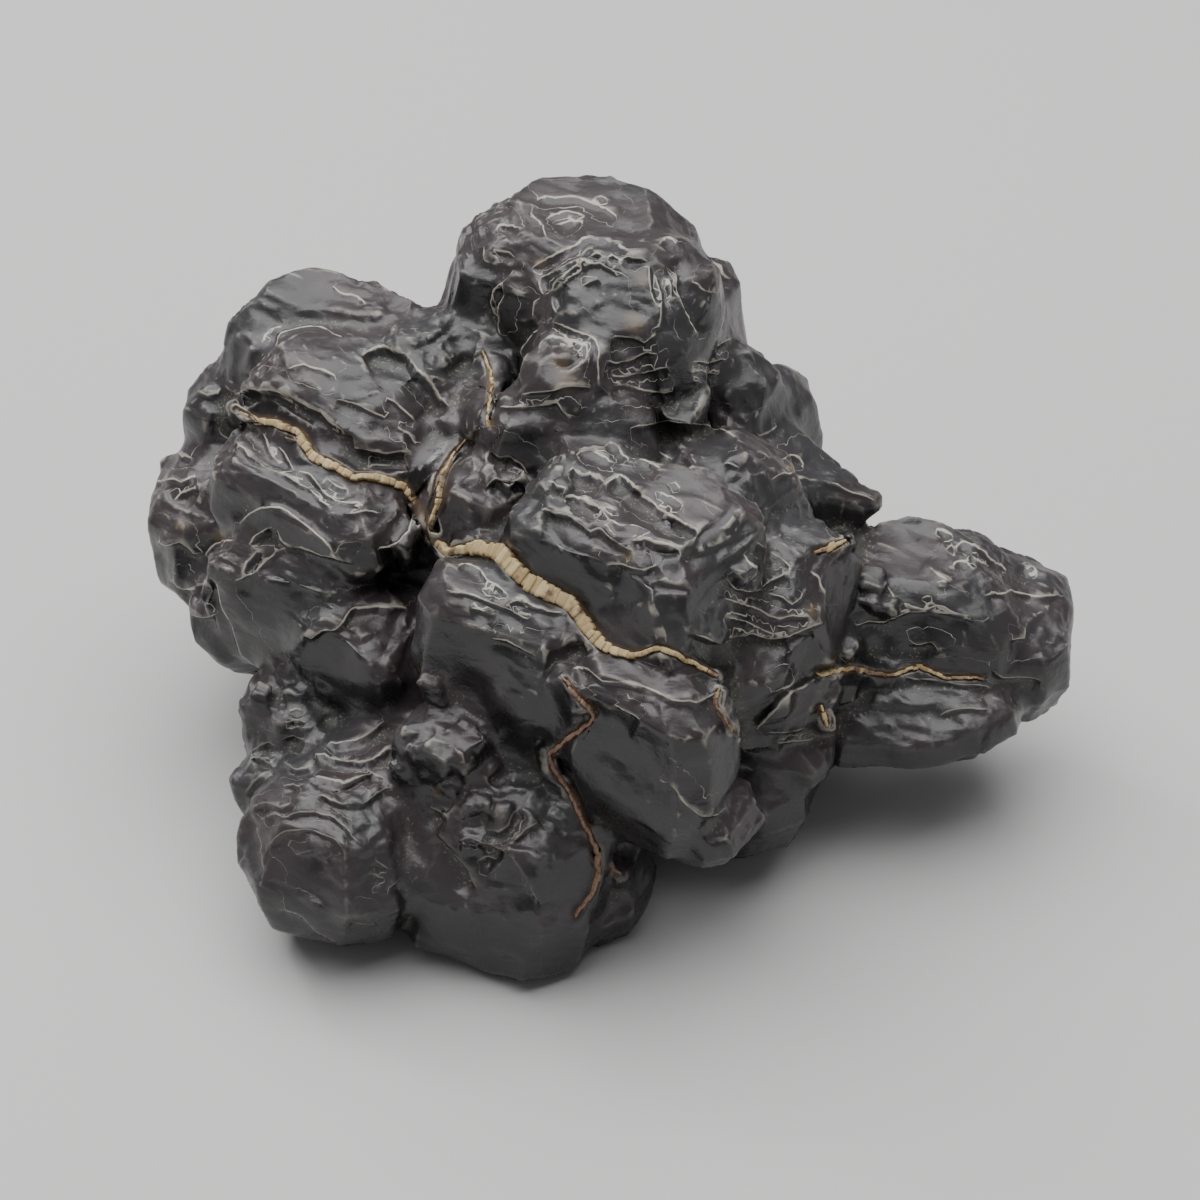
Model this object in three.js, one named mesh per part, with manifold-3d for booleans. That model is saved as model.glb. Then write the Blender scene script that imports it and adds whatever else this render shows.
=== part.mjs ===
// A prophecy stone: an iron oxide concretion, grown as one piece out of bevelled block crystals.
// Millimetres, +Z up, standing on the surface at z = 0, with its widest side along X.
import * as THREE from 'three';
import { ConvexGeometry } from 'three/addons/geometries/ConvexGeometry.js';
import { mergeVertices } from 'three/addons/utils/BufferGeometryUtils.js';
import Module from 'manifold-3d';

const wasm = await Module();
wasm.setup();

// Places are given as the stone is seen: millimetres to the right of, above and in front of its middle,
// along a line of sight that looks down on it by this angle.
const sightAngle = THREE.MathUtils.degToRad(40);
const groundBelowMiddle = 20;

// at is the middle of the block's top face, and size its length, depth and height. turn is its heading,
// forward roll and sideways pitch in degrees. bevel is the width cut from its edges, and ends are the
// shares of its length and depth that are left at its top and at its foot.
function crystal(name, at, size, turn, bevel, ends) {
  return { name, at, size, turn, bevel, ends };
}

const crystals = [
  // The mass that they all grow from.
  crystal('core', [-4, 10, 0], [44, 33, 25], [0, 0, 0], 7, [0.8, 0.7]),
  crystal('heart', [-5, 19.5, -1.5], [30, 18, 20], [0, 0, 0], 4, [0.8, 0.9]),
  crystal('armRoot', [18, -1, -2], [22, 14, 13], [-5, 0, 0], 2.5, [0.85, 0.85]),
  crystal('heelRoot', [11, -8, 2], [14, 14, 14], [-20, 0, 0], 2.5, [0.8, 0.8]),
  // The crown at the top.
  crystal('crownBack', [-1.3, 31, 3.5], [20.5, 20, 25], [-38, 0, 0], 3.5, [0.85, 1]),
  crystal('crownKnob', [1, 23.5, 10.5], [15.5, 14.5, 12], [-10, 35, 0], 2.5, [0.85, 1]),
  crystal('crownBud', [-3, 17.5, 13], [7, 6.5, 7], [-10, 38, 0], 1.2, [0.85, 1]),
  crystal('brow', [-2.5, 15.5, 11], [14, 7, 8], [-8, 0, 0], 1.5, [0.85, 1]),
  crystal('crownRight', [7.6, 26.8, 1.5], [8.5, 8.5, 17], [-20, 0, 0], 1.8, [0.85, 1]),
  crystal('napeNear', [10.5, 20.5, 1], [9, 9, 13], [-30, 0, 0], 2, [0.85, 1]),
  crystal('napeFar', [14.5, 18.5, -4], [7.5, 8, 12], [-30, 0, 0], 2, [0.85, 1]),
  // The left shoulder, above the main seam.
  crystal('shoulderBack', [-21, 24.5, -1], [20, 12, 16], [-10, 0, 0], 3, [0.85, 1]),
  crystal('shoulderFront', [-19.5, 18.5, 5], [17, 12, 9], [-35, 5, 0], 2, [0.85, 1]),
  crystal('shoulderKnob', [-14.5, 21.5, 3], [9.5, 10, 12], [-35, 0, 0], 2, [0.85, 1]),
  // The left side, below the main seam.
  crystal('slab', [-23.5, 10, 7], [18, 8, 9], [-35, 10, 0], 1.6, [0.9, 0.9]),
  crystal('ridge', [-24, 5, 4], [15, 9, 13], [-25, 0, 0], 1.5, [0.9, 0.8]),
  crystal('plinth', [-19, -0.5, 6], [9.5, 8, 9], [-25, 0, 0], 1.2, [0.9, 0.9]),
  crystal('cheek', [-32, 11.5, -5], [12, 14, 17], [0, 0, -10], 2.5, [0.85, 0.7]),
  crystal('cheekTop', [-31, 18.5, -5], [7, 8, 10], [0, 0, 0], 2, [0.85, 1]),
  crystal('cheekLow', [-28.5, 3.5, -4], [9, 12, 11], [0, 0, 0], 2, [1, 0.4]),
  // The middle.
  crystal('centre', [2.5, 8, 18], [19, 14, 14], [-35, 0, 0], 2, [0.9, 1]),
  crystal('saddle', [9, 12, 9.5], [14, 14, 15], [-35, 0, 0], 3, [0.85, 1]),
  crystal('nook', [-8.5, 10.5, 10], [8, 8, 10], [-30, 0, 0], 1.5, [0.85, 1]),
  crystal('jaw', [-7, 1.5, 16], [13.5, 8.5, 17], [-25, 0, 0], 1.8, [0.95, 0.8]),
  crystal('keel', [3.5, -5, 20], [13, 8, 18], [-30, 0, 0], 1.8, [0.95, 0.8]),
  crystal('keelLow', [7, -13.5, 13.5], [10, 8, 8], [-30, 0, 0], 1.5, [0.9, 0.8]),
  // The right side.
  crystal('hip', [13.2, 2, 13], [9.5, 13, 14], [-15, 30, 0], 2, [0.85, 0.8]),
  crystal('hipFoot', [11.5, -3.5, 12.5], [6.5, 5, 10], [10, 0, 0], 1, [0.9, 0.6]),
  crystal('hipLow', [15, -6, 9], [7, 6, 7], [30, 20, 0], 1, [0.9, 0.9]),
  crystal('heel', [13, -10, 5], [10, 6, 5.5], [-10, 20, 0], 1.2, [0.9, 0.9]),
  crystal('armKnot', [18.7, -2.6, 5], [4, 4, 7], [-25, 0, 0], 0.8, [0.8, 0.9]),
  crystal('spike', [22.5, 7.8, 0], [10, 9, 15], [-15, 0, 80], 0.8, [0.2, 1]),
  crystal('armTop', [25.5, 4, 1], [17, 13, 11], [-5, 0, 0], 2, [0.85, 1]),
  crystal('armEnd', [33.2, 1.5, -2], [10.5, 14, 12], [-5, 0, 0], 2, [0.85, 0.8]),
  crystal('armLow', [24.8, -5.4, -1], [17, 13, 9.5], [-5, 0, -8], 2.5, [0.95, 0.6]),
  // What it stands on.
  crystal('footLeft', [-18.6, -10.8, 5], [14.2, 23, 16.5], [-20, -12, 0], 3, [0.85, 0.8]),
  crystal('footStackFar', [-26.2, -6.6, 1], [4.2, 7, 16], [-15, 0, -6], 0.8, [0.9, 0.9]),
  crystal('footStackNear', [-23.8, -7.4, 3], [4, 7, 16], [-15, 0, -4], 0.8, [0.9, 0.9]),
  crystal('footStackLow', [-26.4, -12, 3], [4, 7, 14], [-20, 0, -4], 0.8, [0.9, 0.9]),
  crystal('footCluster', [-11.5, -8.5, 10.5], [8, 8, 15], [-20, 0, 0], 1.5, [0.85, 1]),
  crystal('footMiddle', [-5.2, -12.2, 7.8], [16.5, 18, 18], [-20, -8, 6], 3, [0.85, 0.9]),
  crystal('footSide', [0.2, -17.6, 4.6], [9, 9.5, 11], [-20, 0, 6], 2, [0.8, 0.9]),
  crystal('footRight', [7.5, -8.5, -5], [11, 12, 11.8], [15, 0, 0], 2, [1, 0.7]),
  crystal('footBack', [-2, 3.6, -17.9], [16, 14, 12.2], [10, 0, 0], 3, [0.9, 0.8]),
  // The far side and the underside.
  crystal('backLeft', [-21, 20, -9], [14, 14, 18], [20, 0, 0], 2.5, [0.8, 0.9]),
  crystal('backLedge', [-12, 21.5, -14], [11, 9, 14], [-25, -12, 0], 2, [0.85, 0.9]),
  crystal('backMiddle', [-2, 23.5, -11], [13, 13, 20], [-10, 0, 0], 3, [0.85, 1]),
  crystal('backRight', [9.5, 16.5, -12], [13, 13, 15], [25, 0, 0], 2.5, [0.8, 0.9]),
  crystal('backStep', [3.5, 17.5, -17], [9, 8, 12], [10, -15, 0], 1.5, [0.85, 0.9]),
  crystal('backLowLeft', [-17, 12, -20], [13, 11, 12], [15, 0, 0], 2.5, [0.85, 0.8]),
  crystal('backLowMiddle', [-7, 13, -22], [10, 9, 12], [-30, -10, 0], 1.8, [0.85, 0.8]),
  crystal('backLowRight', [4, 11.5, -22.5], [12, 10, 12], [-20, 0, 0], 2.5, [0.85, 0.8]),
  crystal('backSide', [15, 7.5, -9], [11, 12, 12], [30, 0, 0], 2, [0.85, 0.8]),
  crystal('backKnob', [19.5, 3, -9.5], [7, 8, 8], [-10, 0, 20], 1.5, [0.8, 0.8]),
  crystal('armBack', [27, 3.5, -7.5], [12, 8, 9], [15, 0, 0], 2, [0.85, 0.8]),
  crystal('leftBack', [-28.5, 8.5, -15], [9, 11, 12], [-20, 0, -15], 2, [0.85, 0.8]),
  crystal('belowLeft', [-17, -3, -11], [13, 12, 8.5], [30, 0, 0], 2, [1, 0.6]),
  crystal('belowMiddle', [-4, -4, -11], [11, 12, 7.5], [-15, 8, 0], 2, [1, 0.6]),
  crystal('belowArm', [19, -4, -7], [11, 10, 7], [20, 0, 10], 1.8, [1, 0.6]),
];

// From the way the stone is seen to its own frame, where Y runs away and Z up.
function place([right, up, forward]) {
  return new THREE.Vector3(right, up, forward).applyAxisAngle(
    new THREE.Vector3(1, 0, 0),
    Math.PI / 2 - sightAngle,
  );
}

// Level rings of eight corners each: a block with every edge cut off, widest at half its height.
function blockPoints({ size, bevel, ends }) {
  const [long, deep, high] = size;
  const [top, foot] = ends;
  const rings = [
    { z: 0, share: top, inset: bevel },
    { z: -bevel, share: top, inset: 0 },
    { z: -high / 2, share: 1, inset: 0 },
    { z: bevel - high, share: foot, inset: 0 },
    { z: -high, share: foot, inset: bevel },
  ];
  const points = [];
  for (const { z, share, inset } of rings) {
    const x = (long / 2) * share - inset;
    const y = (deep / 2) * share - inset;
    for (const [sideX, sideY] of [[1, 1], [1, -1], [-1, 1], [-1, -1]]) {
      points.push(new THREE.Vector3(sideX * x, sideY * (y - bevel), z));
      points.push(new THREE.Vector3(sideX * (x - bevel), sideY * y, z));
    }
  }
  return points;
}

function solidOf(geometry) {
  geometry.deleteAttribute('normal');
  geometry.deleteAttribute('uv');
  const merged = mergeVertices(geometry, 1e-4);
  return new wasm.Manifold(
    new wasm.Mesh({
      numProp: 3,
      vertProperties: merged.attributes.position.array,
      triVerts: new Uint32Array(merged.index.array),
    }),
  );
}

function crystalSolid(grain) {
  const [heading, roll, pitch] = grain.turn.map(THREE.MathUtils.degToRad);
  const geometry = new ConvexGeometry(blockPoints(grain));
  const turned = new THREE.Matrix4().makeRotationFromEuler(new THREE.Euler(roll, pitch, heading, 'ZYX'));
  geometry.applyMatrix4(turned.setPosition(place(grain.at)));
  return solidOf(geometry);
}

function groundSolid() {
  const size = 200;
  const geometry = new THREE.BoxGeometry(size, size, size);
  geometry.translate(0, 0, -size / 2 - groundBelowMiddle);
  return solidOf(geometry);
}

function geometryOf(solid) {
  const mesh = solid.getMesh();
  const geometry = new THREE.BufferGeometry();
  geometry.setAttribute('position', new THREE.BufferAttribute(mesh.vertProperties, 3));
  geometry.setIndex(new THREE.BufferAttribute(mesh.triVerts, 1));
  return geometry;
}

const grown = crystals.map(crystalSolid).reduce((whole, grain) => whole.add(grain));
const stoneGeometry = geometryOf(grown.subtract(groundSolid()));

// The origin goes on the surface it stands on, under the middle of its width and depth.
stoneGeometry.computeBoundingBox();
const middle = stoneGeometry.boundingBox.getCenter(new THREE.Vector3());
stoneGeometry.translate(-middle.x, -middle.y, groundBelowMiddle);

const ironOxide = new THREE.MeshStandardMaterial({ color: 0x2e2a2b, roughness: 0.4, metalness: 0.2 });
const stone = new THREE.Mesh(stoneGeometry, ironOxide);
stone.name = 'stone';

const group = new THREE.Group();
group.add(stone);

export default group;
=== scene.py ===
# A prophecy stone: dark iron oxide crystals grown together, with pale ribbed seams between them.
import math

import bmesh
import bpy
import numpy as np
from mathutils import Matrix, Vector
from mathutils.bvhtree import BVHTree


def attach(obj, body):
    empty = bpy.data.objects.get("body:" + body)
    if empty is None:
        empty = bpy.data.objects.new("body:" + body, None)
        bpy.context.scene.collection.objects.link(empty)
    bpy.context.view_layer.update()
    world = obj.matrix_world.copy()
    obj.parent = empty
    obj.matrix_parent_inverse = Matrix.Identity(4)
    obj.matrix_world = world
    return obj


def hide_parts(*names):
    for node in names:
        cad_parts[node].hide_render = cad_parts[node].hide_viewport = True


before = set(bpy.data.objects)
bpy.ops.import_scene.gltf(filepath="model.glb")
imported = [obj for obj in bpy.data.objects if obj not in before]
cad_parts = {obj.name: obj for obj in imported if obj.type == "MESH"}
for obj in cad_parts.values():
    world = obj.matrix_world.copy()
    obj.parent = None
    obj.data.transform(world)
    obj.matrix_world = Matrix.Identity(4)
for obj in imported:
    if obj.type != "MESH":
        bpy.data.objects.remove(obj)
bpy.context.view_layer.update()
mm = 0.001

# The way the stone is seen. Places on it are given in mm to the right of, above and in front of aim.
sight = {
    "down": math.radians(40),  # how steeply the camera looks down
    "away": 240 * mm,  # from the camera to aim
    "aim": Vector((-1.14, -2.83, 20)) * mm,
    "lens": 90,
    "sensor": 36,
}
toCamera = Vector((0, -math.cos(sight["down"]), math.sin(sight["down"])))
toTop = Vector((0, math.sin(sight["down"]), math.cos(sight["down"])))
cameraPlace = sight["aim"] + toCamera * sight["away"]


def seenPlace(right, up, forward=0.0):  # the place that lies so many mm from aim
    return sight["aim"] + (Vector((1, 0, 0)) * right + toTop * up + toCamera * forward) * mm


def seenHit(tree, right, up):  # place and normal where the line of sight meets the stone, or None twice
    ray = (seenPlace(right, up) - cameraPlace).normalized()
    return tree.ray_cast(cameraPlace, ray)[:2]


def asSeen(points):  # the other way round: right, up and forward of points, in mm
    shift = (points - np.array(sight["aim"])) / mm
    forward = shift @ np.array(toCamera)
    away = sight["away"] / mm
    nearer = away / (away - forward)
    return shift[:, 0] * nearer, shift @ np.array(toTop) * nearer, forward


# Small helpers for shaping with numpy and for building nodes


def lumpNoise(points, size, seed):  # smooth noise, mostly from -1 to 1, its lumps about size across
    span = 32  # cells before it repeats
    start = 500  # the cell at the origin
    gain = 1.4
    table = np.random.default_rng(seed).uniform(-1, 1, (span, span, span))
    cell = points / size + start
    low = np.floor(cell).astype(int)
    part = cell - low
    part = part * part * part * (part * (part * 6 - 15) + 10)
    total = np.zeros(len(points))
    for corner in np.ndindex(2, 2, 2):
        pick = (low + corner) % span
        weight = np.prod(np.where(corner, part, 1 - part), axis=1)
        total += weight * table[pick[:, 0], pick[:, 1], pick[:, 2]]
    return total * gain


def wandered(points, waves):  # moves points about by noise: how far, over what length, and the seed
    moved = points.copy()
    for depth, size, seed in waves:
        for axis in range(3):
            moved[:, axis] += depth * lumpNoise(points, size, seed + axis)
    return moved


def smoothStep(low, high, value):
    share = np.clip((value - low) / (high - low), 0, 1)
    return share * share * (3 - 2 * share)


def stairs(value, riser):  # rises by 1 each 1, all of it within the riser's share of the tread
    whole = np.floor(value)
    return whole + smoothStep(1 - riser, 1, value - whole)


def readVectors(mesh, name):  # the places or the normals of a mesh's points
    values = np.empty(len(mesh.vertices) * 3)
    mesh.vertices.foreach_get(name, values)
    return values.reshape(-1, 3)


def writePoints(mesh, points):
    mesh.vertices.foreach_set("co", points.ravel())
    mesh.update()


def readEdges(mesh):
    pairs = np.empty(len(mesh.edges) * 2, int)
    mesh.edges.foreach_get("vertices", pairs)
    return pairs.reshape(-1, 2)


def relax(values, pairs, rounds, share=0.5):  # moves each value by a share towards its neighbours' mean
    one, two = pairs[:, 0], pairs[:, 1]
    count = len(values)
    links = np.maximum(np.bincount(one, minlength=count) + np.bincount(two, minlength=count), 1)
    flat = values.reshape(count, -1).copy()
    for _ in range(rounds):
        for k in range(flat.shape[1]):
            column = flat[:, k]
            total = np.bincount(one, column[two], count) + np.bincount(two, column[one], count)
            flat[:, k] = column + share * (total / links - column)
    return flat.reshape(values.shape)


def dots(one, two):
    return np.einsum("ij,ij->i", one, two)


def storeValue(mesh, name, values):
    attribute = mesh.attributes.new(name, "FLOAT", "POINT")
    attribute.data.foreach_set("value", values.astype(np.float32))


def newObject(name, mesh):
    piece = bpy.data.objects.new(name, mesh)
    bpy.context.scene.collection.objects.link(piece)
    return piece


def applyModifiers(piece):
    depsgraph = bpy.context.evaluated_depsgraph_get()
    finished = bpy.data.meshes.new_from_object(piece.evaluated_get(depsgraph))
    piece.modifiers.clear()
    piece.data = finished
    return finished


def remeshed(piece, voxel):
    remesh = piece.modifiers.new("grain", "REMESH")
    remesh.mode = "VOXEL"
    remesh.voxel_size = voxel
    return applyModifiers(piece)


def addNode(tree, kind, inputs=None, **settings):  # each input is a socket to link or a value to set
    made = tree.nodes.new(kind)
    for name, value in settings.items():
        setattr(made, name, value)
    for name, value in (inputs or {}).items():
        if isinstance(value, bpy.types.NodeSocket):
            tree.links.new(value, made.inputs[name])
        else:
            made.inputs[name].default_value = value
    return made


# The faces of the CAD blocks

blockFaces = {
    "sameFace": math.radians(14),  # the most that neighbours turn inside one face
    "ridge": math.radians(9),  # the least that two faces turn at a ridge between them
    "withoutRidge": 3 * mm,  # how far from a ridge a face without one counts as
    "farthest": 9 * mm,  # the most that any point counts as
}


def facesOfBlocks(shape):  # which face each polygon belongs to, and the ridges round each face
    shape.faces.index_update()
    groupOf = [-1] * len(shape.faces)
    groups = 0
    for start in shape.faces:
        if groupOf[start.index] >= 0:
            continue
        groupOf[start.index] = groups
        waiting = [start]
        while waiting:
            face = waiting.pop()
            for edge in face.edges:
                for other in edge.link_faces:
                    turn = other.normal.angle(start.normal, math.pi)
                    if groupOf[other.index] < 0 and turn < blockFaces["sameFace"]:
                        groupOf[other.index] = groups
                        waiting.append(other)
        groups += 1
    ridges = [[] for _ in range(groups)]
    for edge in shape.edges:
        if len(edge.link_faces) != 2:
            continue
        one, two = edge.link_faces
        if groupOf[one.index] == groupOf[two.index]:
            continue
        ends = (edge.verts[0].co[:], edge.verts[1].co[:])
        across = two.calc_center_median() - one.calc_center_median()
        if one.normal.dot(across) < 0 and one.normal.angle(two.normal, 0) > blockFaces["ridge"]:
            ridges[groupOf[one.index]].append(ends)
            ridges[groupOf[two.index]].append(ends)
    return np.array(groupOf), ridges


def distanceToSegments(points, segments):  # from each point to the nearest of them
    best = np.full(len(points), 1e9)
    for start, end in segments:
        start = np.array(start)
        along = np.array(end) - start
        share = np.clip((points - start) @ along / max(along @ along, 1e-18), 0, 1)
        gap = np.linalg.norm(points - start - share[:, None] * along, axis=1)
        best = np.minimum(best, gap)
    return best


def edgeGaps(points, groupOf, ridges, blockTree):  # how far each point is from the ridges of its face
    near = np.array([blockTree.find_nearest(Vector(point))[2] for point in points])
    pointGroup = groupOf[near]
    gaps = np.full(len(points), blockFaces["withoutRidge"])
    order = np.argsort(pointGroup, kind="stable")
    ends = np.searchsorted(pointGroup[order], np.arange(groupOf.max() + 2))
    for group in range(groupOf.max() + 1):
        members = order[ends[group]:ends[group + 1]]
        if len(members) and ridges[group]:
            gaps[members] = distanceToSegments(points[members], ridges[group])
    return np.minimum(gaps, blockFaces["farthest"])


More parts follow.
